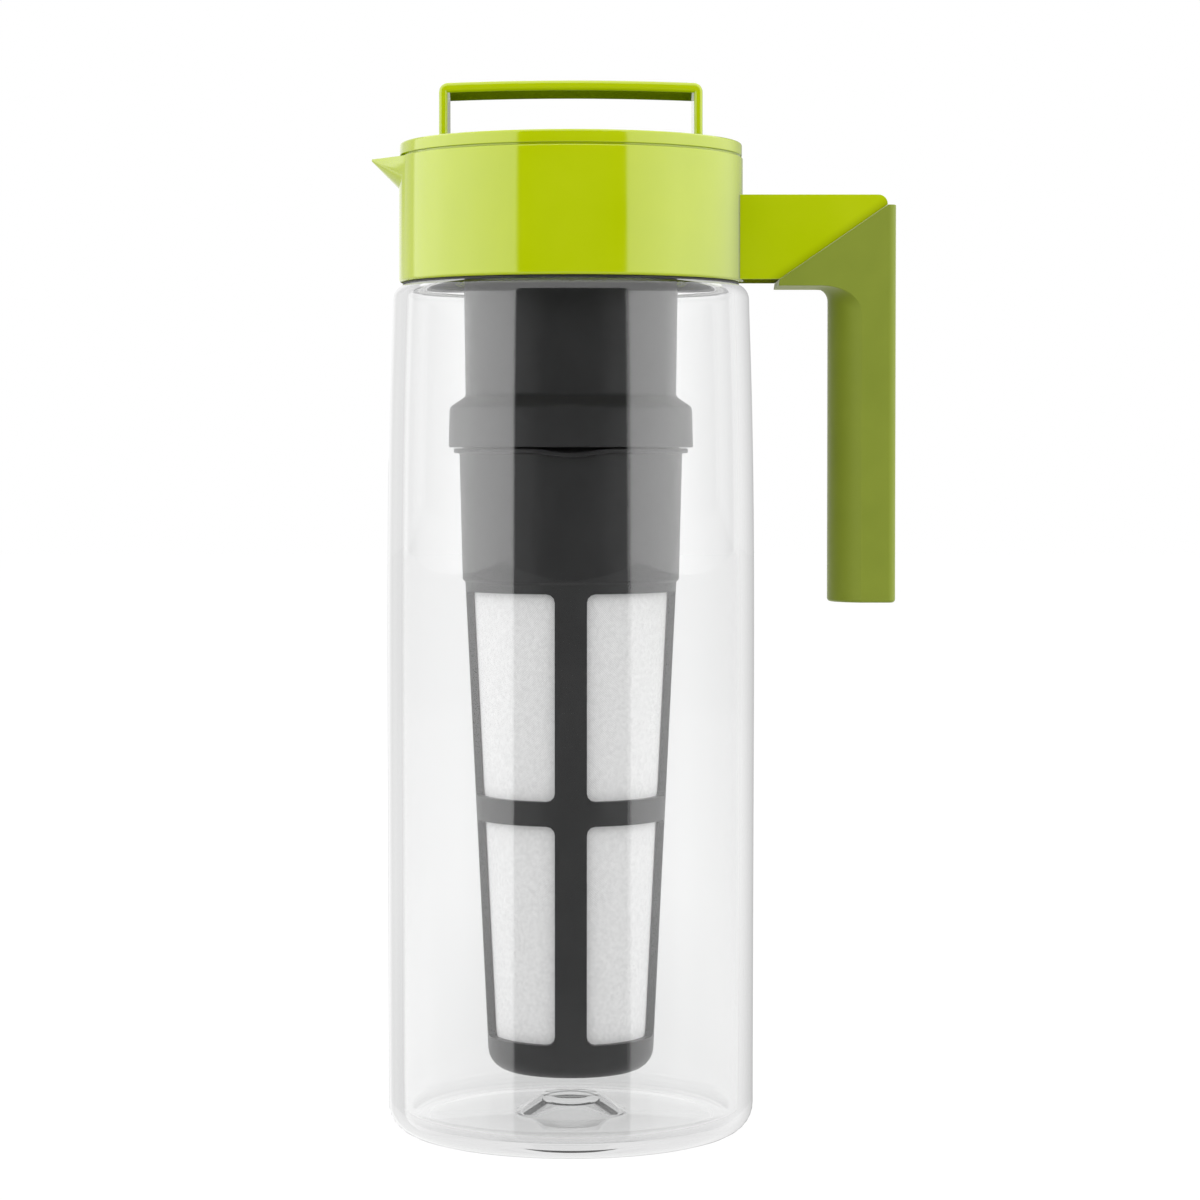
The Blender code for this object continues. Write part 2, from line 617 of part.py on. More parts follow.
def lugs(reach, root, bottom):
    """Outward lugs of a bayonet, grown out of the tube that they are on."""
    lug = box((root, -LUG_WIDTH / 2, bottom), (reach, LUG_WIDTH / 2, bottom + LUG_HEIGHT))
    return [turn @ lug for turn in around(LUG_COUNT)]


def lid_plug():
    skirt_inner = PLUG_RADIUS - PLUG_WALL
    groove = UPPER_BORE - FIT - LID_SEAL_DEPTH - FIT
    socket_outer = SOCKET_BORE + SOCKET_WALL
    rib_gap = CAP_RIB_DEPTH + FIT
    profile = [
        (0.0, PLUG_TOP),
        (CAP_RIB_RADIUS - CAP_RIB_WIDTH - FIT, PLUG_TOP),
        (CAP_RIB_RADIUS - CAP_RIB_WIDTH - FIT, PLUG_TOP - rib_gap),
        (CAP_RIB_RADIUS + FIT, PLUG_TOP - rib_gap),
        (CAP_RIB_RADIUS + FIT, PLUG_TOP),
        (PLUG_RADIUS, PLUG_TOP),
        (PLUG_RADIUS, SEAL_GROOVE_TOP),
        (groove, SEAL_GROOVE_TOP),
        (groove, SEAL_GROOVE_BOTTOM),
        (PLUG_RADIUS, SEAL_GROOVE_BOTTOM),
        (PLUG_RADIUS, PLUG_BOTTOM),
        (skirt_inner, PLUG_BOTTOM),
        (skirt_inner, PLUG_CEILING),
        (socket_outer, PLUG_CEILING),
        (socket_outer, PLUG_BOTTOM),
        (SOCKET_BORE, PLUG_BOTTOM),
        (SOCKET_BORE, PLUG_CEILING),
        (0.0, PLUG_CEILING),
    ]
    piece = turned("lid_plug", profile, parts, closed=False)
    middle = (skirt_inner + socket_outer) / 2
    low = (-WINDOW_WIDTH / 2, middle, SEAL_GROOVE_TOP + WINDOW_LAND)
    high = (WINDOW_WIDTH / 2, PLUG_RADIUS + PLUG_WALL, PLUG_CEILING - FIT)
    combine(piece, blocks("pour_window", [box(low, high)]), "DIFFERENCE")
    rim = SOCKET_TAB_TOP - TAB_HEIGHT
    combine(piece, blocks("socket_tabs", tabs(SOCKET_RADIUS + FIT, socket_outer, rim + FIT / 3)), "UNION")
    return piece


def lid_gasket():
    """A soft ring with two lips, in the groove of the plug's skirt."""
    outer = UPPER_BORE - FIT
    inner = outer - LID_SEAL_DEPTH
    bottom = SEAL_GROOVE_BOTTOM + FIT
    top = bottom + LID_SEAL_HEIGHT
    lip = LID_SEAL_HEIGHT / 4
    waist = (outer + inner) / 2
    profile = [(waist, top), (outer, top - lip), (waist, (top + bottom) / 2), (outer, bottom + lip), (waist, bottom)]
    return turned("lid_gasket", profile + [(inner, bottom), (inner, top)], parts)


def infuser_neck():
    inner_top = TUBE_BOTTOM - CONNECTOR_CONE / 2
    ring_top = CONNECTOR_RADIUS - CONNECTOR_DRAFT
    profile = [
        (SOCKET_RADIUS, TUBE_TOP),
        (SOCKET_RADIUS, PLUG_BOTTOM),
        (TUBE_RADIUS, TUBE_BOTTOM),
        (ring_top, CONNECTOR_TOP),
        (CONNECTOR_RADIUS, CONNECTOR_BOTTOM),
        (CONNECTOR_BORE, CONNECTOR_BOTTOM),
        (CONNECTOR_BORE, SPIGOT_TOP + FIT),
        (TUBE_RADIUS - TUBE_WALL, inner_top),
        (SOCKET_RADIUS - TUBE_WALL, PLUG_BOTTOM),
        (SOCKET_RADIUS - TUBE_WALL, TUBE_TOP),
    ]
    piece = turned("infuser_neck", profile, parts)
    root = SOCKET_RADIUS - TUBE_WALL / 2
    combine(piece, blocks("tube_lugs", lugs(SOCKET_LUG_REACH, root, TUBE_LUG_BOTTOM)), "UNION")
    ring_tabs = tabs(SPIGOT_RADIUS + TURNING_GAP, ring_top, SPIGOT_TAB_BOTTOM)
    combine(piece, blocks("connector_tabs", ring_tabs), "UNION")
    return piece


def basket_side(height):
    """Outer radius of the infuser's lower frame, which tapers from its ledge to its rounded bottom."""
    top = BASKET_RADIUS - BASKET_DRAFT - BASKET_LEDGE
    return top - BASKET_TAPER * (BASKET_LEDGE_TOP - height) / (BASKET_LEDGE_TOP - BASKET_BOTTOM)


def infuser_basket():
    body_foot = BASKET_RADIUS - BASKET_DRAFT
    ledge_bottom = BASKET_LEDGE_TOP - BASKET_LEDGE
    bottom_round = BASKET_BOTTOM + BASKET_FLOOR_ROUND
    floor = BASKET_BOTTOM + BASKET_FLOOR
    corner = basket_side(bottom_round) - BASKET_FLOOR_ROUND
    inner_round = BASKET_FLOOR_ROUND - BASKET_WALL
    profile = [(0.0, floor)]
    profile += arc(corner, floor + inner_round, inner_round, -90, 0)
    profile += [
        (basket_side(ledge_bottom) - BASKET_WALL, ledge_bottom),
        (body_foot - BASKET_WALL, BASKET_LEDGE_TOP),
        (BASKET_RADIUS - BASKET_WALL, BASKET_SHOULDER),
        (BASKET_RADIUS - BASKET_WALL, SPIGOT_TOP),
        (SPIGOT_RADIUS, SPIGOT_TOP),
        (SPIGOT_RADIUS, FLANGE_TOP),
        (FLANGE_RADIUS, FLANGE_TOP),
        (FLANGE_RADIUS, BASKET_SHOULDER),
        (BASKET_RADIUS, BASKET_SHOULDER),
        (body_foot, BASKET_LEDGE_TOP),
        (basket_side(ledge_bottom), ledge_bottom),
    ]
    profile += arc(corner, bottom_round, BASKET_FLOOR_ROUND, 0, -90)
    profile.append((0.0, BASKET_BOTTOM))
    piece = turned("infuser_basket", profile, parts, closed=False)
    combine(piece, blocks("basket_windows", window_boxes(), WINDOW_ROUND), "DIFFERENCE")
    root = (SPIGOT_RADIUS + BASKET_RADIUS - BASKET_WALL) / 2
    combine(piece, blocks("spigot_lugs", lugs(SPIGOT_LUG_REACH, root, SPIGOT_LUG_BOTTOM)), "UNION")
    return piece


def window_boxes():
    """Two rows of openings between the four upright ribs, one block for each."""
    ring_top = WINDOW_TOP - WINDOW_RING_DROP
    rows = [(WINDOW_BOTTOM, ring_top - WINDOW_RING), (ring_top, WINDOW_TOP)]
    near = RIB_WIDTH / 2
    far = FLANGE_RADIUS
    boxes = []
    for turn in around(4):
        for bottom, top in rows:
            boxes.append(turn @ box((near, near, bottom), (far, far, top)))
    return boxes


def filter_mesh():
    """The mesh as a thin cone against the inside of the frame."""
    top = BASKET_LEDGE_TOP - BASKET_LEDGE
    bottom = WINDOW_BOTTOM - MESH_FOOT
    skin = BASKET_WALL + FIT
    top_radius = basket_side(top) - skin
    bottom_radius = basket_side(bottom) - skin
    profile = [
        (top_radius, top),
        (bottom_radius, bottom),
        (bottom_radius - MESH_THICKNESS, bottom),
        (top_radius - MESH_THICKNESS, top),
    ]
    return turned("filter_mesh", profile, parts)


for leftover in list(bpy.data.objects):
    bpy.data.objects.remove(leftover)

parts = bpy.data.collections.new("iced_tea_pitcher")
helpers = bpy.data.collections.new("cutters")
bpy.context.scene.collection.children.link(parts)
bpy.context.scene.collection.children.link(helpers)

clear_plastic = finish("clear_plastic", (0.94, 0.95, 0.95), 0.05, opacity=0.25, transmission=1.0)
lime_plastic = finish("lime_plastic", (0.46, 0.56, 0.0), 0.22)
olive_rubber = finish("olive_rubber", (0.22, 0.28, 0.033), 0.55)
grey_plastic = finish("grey_plastic", (0.03, 0.03, 0.031), 0.4)
white_mesh = finish("white_mesh", (0.8, 0.8, 0.8), 0.8)
silicone = finish("silicone", (0.62, 0.63, 0.62), 0.5)

jug_axis = axis_marker("jug_axis", 0.0)
lid_axis = axis_marker("lid_axis", COLLAR_TOP)
infuser_axis = axis_marker("infuser_axis", PLUG_BOTTOM)

dress(jug_body(), clear_plastic, jug_axis)
dress(neck_gasket(), silicone, jug_axis)
dress(collar(), lime_plastic, jug_axis)
dress(handle_arm(), lime_plastic, jug_axis)
dress(handle_grip(), olive_rubber, jug_axis)
dress(lid_cap(), lime_plastic, lid_axis)
dress(lid_loop(), lime_plastic, lid_axis)
dress(lid_plug(), lime_plastic, lid_axis)
dress(lid_gasket(), silicone, lid_axis)
dress(infuser_neck(), grey_plastic, infuser_axis)
dress(infuser_basket(), grey_plastic, infuser_axis)
dress(filter_mesh(), white_mesh, infuser_axis)
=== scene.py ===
import math

import bmesh
import bpy
from mathutils import Matrix, Vector


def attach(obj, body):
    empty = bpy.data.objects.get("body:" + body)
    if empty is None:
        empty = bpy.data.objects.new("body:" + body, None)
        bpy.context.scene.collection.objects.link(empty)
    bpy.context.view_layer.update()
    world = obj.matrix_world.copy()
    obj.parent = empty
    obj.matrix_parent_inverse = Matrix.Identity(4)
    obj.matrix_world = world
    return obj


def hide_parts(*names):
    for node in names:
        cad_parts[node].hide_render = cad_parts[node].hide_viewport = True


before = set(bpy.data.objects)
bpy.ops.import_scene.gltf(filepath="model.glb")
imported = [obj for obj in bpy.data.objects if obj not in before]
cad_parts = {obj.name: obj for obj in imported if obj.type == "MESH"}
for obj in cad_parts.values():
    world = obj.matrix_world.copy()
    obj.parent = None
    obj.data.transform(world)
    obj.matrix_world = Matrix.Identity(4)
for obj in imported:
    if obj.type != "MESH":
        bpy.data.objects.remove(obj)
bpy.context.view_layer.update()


# The jug is one thick injection-moulded shell of clear copolyester, turned about its upright axis.
# It has a rounded foot on a flat ring, a small rise in the middle of its floor where the gate was,
# and a plain neck with a bead that the collar snaps over.
MM = 0.001
TURN_STEPS = 192
JUG_RADIUS = 54.0
JUG_WALL = 4.3
JUG_DRAFT = 0.25
BELLY_HEIGHT = 130.0
SHOULDER_HEIGHT = 249.3
SHOULDER_TAPER = 1.95
SHOULDER_ROUND = 4.5
SHOULDER_WALL = 2.3
INNER_SHOULDER_ROUND = 2.2
SIDE_HEIGHTS = (20.0, 75.0, 130.0, 150.0, 165.0, 178.0, 190.0, 200.0, 209.0, 217.0, 224.0, 230.0, 235.0)
NECK_TOP = 262.0
NECK_RADIUS = 46.6
NECK_BORE = 43.2
NECK_ROOT_ROUND = 0.6
BORE_RISE = 0.4
LIP_ROUND = 0.8
BEAD_LOW = 254.5
BEAD_HIGH = 257.5
BEAD_DEPTH = 0.6
BEAD_ROUND = 0.3
FOOT_ROUND = 8.0
FOOT_RING_INNER = 42.06
FOOT_RING_ROUND = 0.2
FOOT_RECESS = 1.5
FOOT_STEP = 0.35
FLOOR_HEIGHT = 5.2
FLOOR_ROUND = 4.0
RISE_TOP = ((0.0, 5.5), (8.4, 5.2, 0.7), (16.2, 0.0, 0.9))
RISE_UNDER = ((14.5, 0.0, 0.9), (6.9, 5.1, 0.7), (0.0, 5.4))
CLEAR_TINT = (0.968, 0.97, 0.97, 1.0)
CLEAR_SHADOW = (0.96, 0.96, 0.96, 1.0)
POLISH_PATCHES = 35.0
POLISH_ROUGHNESS = 0.012
WAVE_SCALE = 22.0
WAVE_DEPTH = 0.2
TRAPPED_AFTER = 3


def piece_of(name, shape, sharp=35.0):
    """An object at the origin for a finished bmesh, smooth but for edges sharper than an angle in degrees."""
    mesh = bpy.data.meshes.new(name)
    shape.to_mesh(mesh)
    shape.free()
    mesh.shade_smooth()
    mesh.set_sharp_from_angle(angle=math.radians(sharp))
    piece = bpy.data.objects.new(name, mesh)
    bpy.context.scene.collection.objects.link(piece)
    return piece


def turned(name, profile, closed=False, round_steps=6):
    """A lathe piece from (radius, height, round) points in millimetres, where a round may be left out."""
    shape = bmesh.new()
    points = [shape.verts.new((point[0] * MM, 0.0, point[1] * MM)) for point in profile]
    for first, second in zip(points, points[1:]):
        shape.edges.new((first, second))
    if closed:
        shape.edges.new((points[-1], points[0]))
    for vertex, point in zip(points, profile):
        if len(point) == 3:
            bmesh.ops.bevel(
                shape,
                geom=[vertex],
                offset=point[2] * MM,
                offset_type="OFFSET",
                segments=round_steps,
                profile=0.5,
                affect="VERTICES",
                material=-1,
            )
    bmesh.ops.spin(
        shape,
        geom=shape.verts[:] + shape.edges[:],
        axis=(0.0, 0.0, 1.0),
        cent=(0.0, 0.0, 0.0),
        angle=2 * math.pi,
        steps=TURN_STEPS,
        use_merge=True,
    )
    bmesh.ops.remove_doubles(shape, verts=shape.verts, dist=0.002 * MM)
    bmesh.ops.recalc_face_normals(shape, faces=shape.faces)
    return piece_of(name, shape)


def jug_side(height):
    """Outer radius of the jug: a slight draft up to the belly, then a taper that quickens to the shoulder."""
    if height < BELLY_HEIGHT:
        return JUG_RADIUS - JUG_DRAFT * (1 - height / BELLY_HEIGHT)
    return JUG_RADIUS - SHOULDER_TAPER * ((height - BELLY_HEIGHT) / (SHOULDER_HEIGHT - BELLY_HEIGHT)) ** 3


inner_top = SHOULDER_HEIGHT - SHOULDER_WALL
profile = [(point[0], FLOOR_HEIGHT + point[1], *point[2:]) for point in RISE_TOP]
profile.append((jug_side(FLOOR_HEIGHT) - JUG_WALL, FLOOR_HEIGHT, FLOOR_ROUND))
profile += [(jug_side(height) - JUG_WALL, height) for height in SIDE_HEIGHTS]
profile.append((jug_side(inner_top - INNER_SHOULDER_ROUND) - JUG_WALL, inner_top, INNER_SHOULDER_ROUND))
profile.append((NECK_BORE, inner_top + BORE_RISE, BEAD_ROUND))
profile.append((NECK_BORE, NECK_TOP, LIP_ROUND))
profile.append((NECK_RADIUS, NECK_TOP, LIP_ROUND))
profile.append((NECK_RADIUS, BEAD_HIGH))
profile.append((NECK_RADIUS + BEAD_DEPTH, BEAD_HIGH - BEAD_DEPTH, BEAD_ROUND))
profile.append((NECK_RADIUS + BEAD_DEPTH, BEAD_LOW + BEAD_DEPTH, BEAD_ROUND))
profile.append((NECK_RADIUS, BEAD_LOW))
profile.append((NECK_RADIUS, SHOULDER_HEIGHT, NECK_ROOT_ROUND))
profile.append((jug_side(SHOULDER_HEIGHT - SHOULDER_ROUND), SHOULDER_HEIGHT, SHOULDER_ROUND))
profile += [(jug_side(height), height) for height in reversed(SIDE_HEIGHTS)]
profile.append((jug_side(FOOT_ROUND), 0.0, FOOT_ROUND))
profile.append((FOOT_RING_INNER, 0.0, FOOT_RING_ROUND))
profile.append((FOOT_RING_INNER - FOOT_STEP, FOOT_STEP, FOOT_RING_ROUND))
profile += [(point[0], FOOT_RECESS + point[1], *point[2:]) for point in RISE_UNDER]
clear_jug = turned("clear_jug", profile, round_steps=8)


def noise(tree, scale, detail=2.0):
    """A noise over the piece's own coordinates, with features about 1 / scale metres across."""
    place = tree.nodes.new("ShaderNodeTexCoord")
    texture = tree.nodes.new("ShaderNodeTexNoise")
    texture.inputs["Scale"].default_value = scale
    texture.inputs["Detail"].default_value = detail
    tree.links.new(place.outputs["Object"], texture.inputs["Vector"])
    return texture.outputs["Fac"]


def ranged(tree, value, start, end, low=0.0, high=1.0):
    """A value stretched from one range to another, and held at its ends."""
    stretch = tree.nodes.new("ShaderNodeMapRange")
    stretch.inputs["From Min"].default_value = start
    stretch.inputs["From Max"].default_value = end
    stretch.inputs["To Min"].default_value = low
    stretch.inputs["To Max"].default_value = high
    tree.links.new(value, stretch.inputs["Value"])
    return stretch.outputs["Result"]


def spread(tree, value, low, high):
    """A noise value stretched over a range, from the middle part of what a noise gives."""
    return ranged(tree, value, 0.3, 0.7, low, high)


def bumped(tree, shader, height, strength, distance):
    """Raises a shader's surface by a height value; the distance is in metres."""
    bump = tree.nodes.new("ShaderNodeBump")
    bump.inputs["Strength"].default_value = strength
    bump.inputs["Distance"].default_value = distance
    tree.links.new(height, bump.inputs["Height"])
    tree.links.new(bump.outputs["Normal"], shader.inputs["Normal"])


def finish(name, **sockets):
    """A material whose even values are set on its shader's own sockets."""
    material = bpy.data.materials.new(name)
    material.use_nodes = True
    shader = material.node_tree.nodes["Principled BSDF"]
    for socket, value in sockets.items():
        shader.inputs[socket.replace("_", " ")].default_value = value
    return material, material.node_tree, shader


def sums(tree, operation, *values):
    """One arithmetic node; values are numbers or other nodes' outputs."""
    node = tree.nodes.new("ShaderNodeMath")
    node.operation = operation
    for socket, value in zip(node.inputs, values):
        if isinstance(value, (int, float)):
            socket.default_value = value
        else:
            tree.links.new(value, socket)
    return node.outputs[0]


def at_least(tree, kind, count):
    """A test, 0 or 1, whether a ray has made at least a number of bounces of a kind."""
    path = tree.nodes.new("ShaderNodeLightPath")
    return sums(tree, "GREATER_THAN", path.outputs[kind + " Depth"], count - 0.5)


def let_through(tree, choice, colour):
    """Lets a ray straight through a finish, with a tint, where a test says so."""
    straight = tree.nodes.new("ShaderNodeBsdfTransparent")
    straight.inputs["Color"].default_value = colour
    either = tree.nodes.new("ShaderNodeMixShader")
    tree.links.new(choice, either.inputs["Fac"])
    tree.links.new(tree.nodes["Principled BSDF"].outputs["BSDF"], either.inputs[1])
    tree.links.new(straight.outputs["BSDF"], either.inputs[2])
    tree.links.new(either.outputs["Shader"], tree.nodes["Material Output"].inputs["Surface"])


clear_plastic, tree, shader = finish(
    "clear_copolyester", Base_Color=CLEAR_TINT, Metallic=0.0, Transmission_Weight=1.0, IOR=1.52
)
tree.links.new(spread(tree, noise(tree, POLISH_PATCHES), 0.0, POLISH_ROUGHNESS), shader.inputs["Roughness"])
bumped(tree, shader, noise(tree, WAVE_SCALE, detail=1.0), strength=0.03, distance=WAVE_DEPTH * MM)
path = tree.nodes.new("ShaderNodeLightPath")
soft_light = sums(tree, "MAXIMUM", path.outputs["Is Shadow Ray"], path.outputs["Is Diffuse Ray"])
trapped = at_least(tree, "Glossy", TRAPPED_AFTER)
let_through(tree, sums(tree, "MAXIMUM", soft_light, trapped), CLEAR_SHADOW)
clear_jug.data.materials.append(clear_plastic)
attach(clear_jug, "jug")
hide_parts("jug_body")


# The neck seal is a flat ring of milky silicone, die-cut, that lies on the jug's lip
# and is squeezed by the collar's inner ledge.
NECK_SEAL = ((46.2, 264.0, 0.4), (46.2, 262.3, 0.4), (43.6, 262.3, 0.4), (43.6, 264.0, 0.4))
SILICONE_DARK = (0.56, 0.57, 0.56, 1.0)
SILICONE_LIGHT = (0.66, 0.67, 0.66, 1.0)


def moulding_marks():
    """Node group with the faint mottle and the fine grain that a mould leaves on a surface."""
    group = bpy.data.node_groups.new("moulding_marks", "ShaderNodeTree")
    for size in ("Mottle Scale", "Grain Scale"):
        group.interface.new_socket(size, in_out="INPUT", socket_type="NodeSocketFloat")
    for mark in ("Mottle", "Grain"):
        group.interface.new_socket(mark, in_out="OUTPUT", socket_type="NodeSocketFloat")
    sizes = group.nodes.new("NodeGroupInput")
    marks = group.nodes.new("NodeGroupOutput")
    place = group.nodes.new("ShaderNodeTexCoord")
    for index, mark in enumerate(("Mottle", "Grain")):
        texture = group.nodes.new("ShaderNodeTexNoise")
        texture.inputs["Detail"].default_value = 3.0
        group.links.new(place.outputs["Object"], texture.inputs["Vector"])
        group.links.new(sizes.outputs[index], texture.inputs["Scale"])
        group.links.new(texture.outputs["Fac"], marks.inputs[mark])
    return group


marks_group = moulding_marks()


def moulded(name, dark, light, smooth, rough, mottle, grain, depth, **sockets):
    """A moulded finish: two near colours, a roughness range, mark sizes per metre and a grain depth."""
    material, tree, shader = finish(name, Metallic=0.0, **sockets)
    marks = tree.nodes.new("ShaderNodeGroup")
    marks.node_tree = marks_group
    marks.inputs["Mottle Scale"].default_value = mottle
    marks.inputs["Grain Scale"].default_value = grain
    tint = tree.nodes.new("ShaderNodeMix")
    tint.data_type = "RGBA"
    tint.inputs["A"].default_value = dark
    tint.inputs["B"].default_value = light
    tree.links.new(spread(tree, marks.outputs["Mottle"], 0.0, 1.0), tint.inputs["Factor"])
    tree.links.new(tint.outputs["Result"], shader.inputs["Base Color"])
    tree.links.new(spread(tree, marks.outputs["Mottle"], smooth, rough), shader.inputs["Roughness"])
    bumped(tree, shader, marks.outputs["Grain"], strength=0.25, distance=depth)
    return material


silicone = moulded(
    "milky_silicone",
    SILICONE_DARK,
    SILICONE_LIGHT,
    smooth=0.38,
    rough=0.5,
    mottle=120.0,
    grain=2500.0,
    depth=0.02 * MM,
    Subsurface_Weight=0.15,
)
neck_seal = turned("neck_seal", NECK_SEAL, closed=True)
neck_seal.data.materials.append(silicone)
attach(neck_seal, "jug")
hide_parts("neck_gasket")


# The shoulder ring is painted shade: a thin ring with a black rubber finish, pressed between the collar's
# lower edge and the jug's shoulder, where it shows as a dark band of shade through the clear plastic.
SHOULDER_SHADE_RING = (
    (46.62, 254.0, 0.05),
    (46.62, 249.0, 0.1),
    (49.0, 248.7, 0.1),
    (49.5, 249.2, 0.2),
    (49.2, 249.8, 0.1),
    (46.85, 249.8, 0.05),
    (46.85, 254.0, 0.05),
)
# Near-black colours for the ring that stands in for the shade under the collar.
SHADE_RING_DARK = (0.012, 0.012, 0.012, 1.0)
SHADE_RING_LIGHT = (0.02, 0.02, 0.02, 1.0)
shade_ring_black = moulded(
    "shade_ring_black",
    SHADE_RING_DARK,
    SHADE_RING_LIGHT,
    smooth=0.55,
    rough=0.65,
    mottle=150.0,
    grain=2500.0,
    depth=0.02 * MM,
)
shoulder_shade_ring = turned("shoulder_shade_ring", SHOULDER_SHADE_RING, closed=True)
shoulder_shade_ring.data.materials.append(shade_ring_black)
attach(shoulder_shade_ring, "jug")


# The collar is a glossy lime band, moulded in one with its beak and snapped over the jug's bead.
# A ledge inside it presses on the neck seal, and its beak is a flattened cone, hollowed for the tea.
COLLAR_RADIUS = 50.5
COLLAR_TOP = 286.1
COLLAR_BOTTOM = 249.7
COLLAR_BORE = 46.9
UPPER_BORE = 47.3
LEDGE_INNER = 43.6
LEDGE_LOW = 264.3
LEDGE_HIGH = 266.5
BEAD_FIT = 0.3
BEAK_TOP = 285.9
BEAK_BACK = 44.1
BEAK_BACK_CUT = (48.9, 240.0, 300.0)
BEAK_TIP = 58.5
BEAK_SLOPE = 1.45
BEAK_FLATTEN = 0.724
BEAK_TIP_RADIUS = 0.8
BEAK_WALL = 1.7
CHANNEL_BACK = 43.6
LIME_DARK = (0.445, 0.552, 0.0, 1.0)
LIME_LIGHT = (0.475, 0.58, 0.001, 1.0)


def joined(piece, tool, operation):
    """Adds a tool's shape to a piece or cuts it out, and keeps the result as the piece's own mesh."""
    change = piece.modifiers.new(tool.name, "BOOLEAN")
    change.operation = operation
    change.object = tool
    bpy.context.view_layer.update()
    made = piece.evaluated_get(bpy.context.evaluated_depsgraph_get())
    mesh = bpy.data.meshes.new_from_object(made)
    piece.modifiers.clear()
    piece.data = mesh
    bpy.data.objects.remove(tool)
    mesh.shade_smooth()
    mesh.set_sharp_from_angle(angle=math.radians(28.0))
    return piece


def bar(name, radius, low, high, steps=TURN_STEPS):
    """A round bar on the jug's axis, to cut with."""
    shape = bmesh.new()
    middle = Matrix.Translation((0.0, 0.0, (low + high) / 2 * MM))
    bmesh.ops.create_cone(
        shape,
        cap_ends=True,
        segments=steps,
        radius1=radius * MM,
        radius2=radius * MM,
        depth=(high - low) * MM,
        matrix=middle,
    )
    return piece_of(name, shape)


def beak_cone(name, back, tip, level):
    """A flattened cone that points out at the spout, cut level at its top where asked."""
    shape = bmesh.new()
    reach = tip - back
    bmesh.ops.create_cone(
        shape,
        cap_ends=True,
        segments=96,
        radius1=reach * BEAK_SLOPE * MM,
        radius2=BEAK_TIP_RADIUS * MM,
        depth=reach * MM,
    )
    bmesh.ops.scale(shape, vec=(BEAK_FLATTEN, 1.0, 1.0), verts=shape.verts)
    bmesh.ops.rotate(shape, cent=(0, 0, 0), matrix=Matrix.Rotation(-math.pi / 2, 3, "Y"), verts=shape.verts)
    bmesh.ops.translate(shape, vec=(-(back + reach / 2) * MM, 0.0, BEAK_TOP * MM), verts=shape.verts)
    if level:
        cut = bmesh.ops.bisect_plane(
            shape,
            geom=shape.verts[:] + shape.edges[:] + shape.faces[:],
            plane_co=(0.0, 0.0, BEAK_TOP * MM),
            plane_no=(0.0, 0.0, 1.0),
            clear_outer=True,
        )
        rim = [item for item in cut["geom_cut"] if isinstance(item, bmesh.types.BMEdge)]
        bmesh.ops.contextual_create(shape, geom=rim)
    bmesh.ops.recalc_face_normals(shape, faces=shape.faces)
    return piece_of(name, shape)


collar_profile = [
    (COLLAR_RADIUS, COLLAR_TOP, 0.4),
    (COLLAR_RADIUS, COLLAR_BOTTOM, 0.9),
    (COLLAR_BORE, COLLAR_BOTTOM, 0.3),
    (COLLAR_BORE, BEAD_LOW - BEAD_FIT),
    (COLLAR_BORE + BEAD_DEPTH, BEAD_LOW + BEAD_FIT),
    (COLLAR_BORE + BEAD_DEPTH, BEAD_HIGH - BEAD_FIT),
    (COLLAR_BORE, BEAD_HIGH + BEAD_FIT),
    (COLLAR_BORE, LEDGE_LOW),
    (LEDGE_INNER, LEDGE_LOW, 0.4),
    (LEDGE_INNER, LEDGE_HIGH, 0.4),
    (UPPER_BORE, LEDGE_HIGH, 0.4),
    (UPPER_BORE, COLLAR_TOP, 0.3),
]
lime_collar = turned("lime_collar", collar_profile, closed=True)
beak = beak_cone("beak", BEAK_BACK, BEAK_TIP, level=True)
joined(beak, bar("beak_back", *BEAK_BACK_CUT), "DIFFERENCE")
joined(lime_collar, beak, "UNION")
joined(lime_collar, beak_cone("beak_channel", CHANNEL_BACK, BEAK_TIP - BEAK_WALL, level=False), "DIFFERENCE")


def glossy_lime(name):
    """The lime plastic's finish, under a name of its own."""
    return moulded(
        name,
        LIME_DARK,
        LIME_LIGHT,
        smooth=0.07,
        rough=0.11,
        mottle=45.0,
        grain=1800.0,
        depth=0.004 * MM,
        IOR=1.52,
    )


lime_plastic = glossy_lime("glossy_lime")
lime_collar.data.materials.append(lime_plastic)
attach(lime_collar, "jug")
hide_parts("collar")


# The handle's arm is a lime box moulding, fixed to the collar's side, with soft edges all round
# and a slanting end that the grip is moulded over.
ARM_TOP = 274.8
ARM_BOTTOM = 250.2
ARM_ROOT = 46.0
ARM_END = 92.15
ARM_HALF_WIDTH = 12.5
ARM_EDGE_ROUND = 0.8
ARM_CORNER_ROUND = 2.7
ARM_SEAT_GAP = 0.2
ARM_SEAT_CUT = (COLLAR_RADIUS + ARM_SEAT_GAP, 230.0, 300.0)
ARM_SEAT_STEPS = 384
# Painted shade: a darker lime laid into the arm's colour along its seam with the grip, fading within a few
# millimetres.
PAINTED_SEAM_SHADE = (0.3, 0.37, 0.0, 1.0)
PAINTED_SHADE_REACH = 2.8
PAINTED_SHADE_FALL = 1.5
SLANT_START = (60.7, ARM_BOTTOM)
SLANT_END = (ARM_END, 271.9)


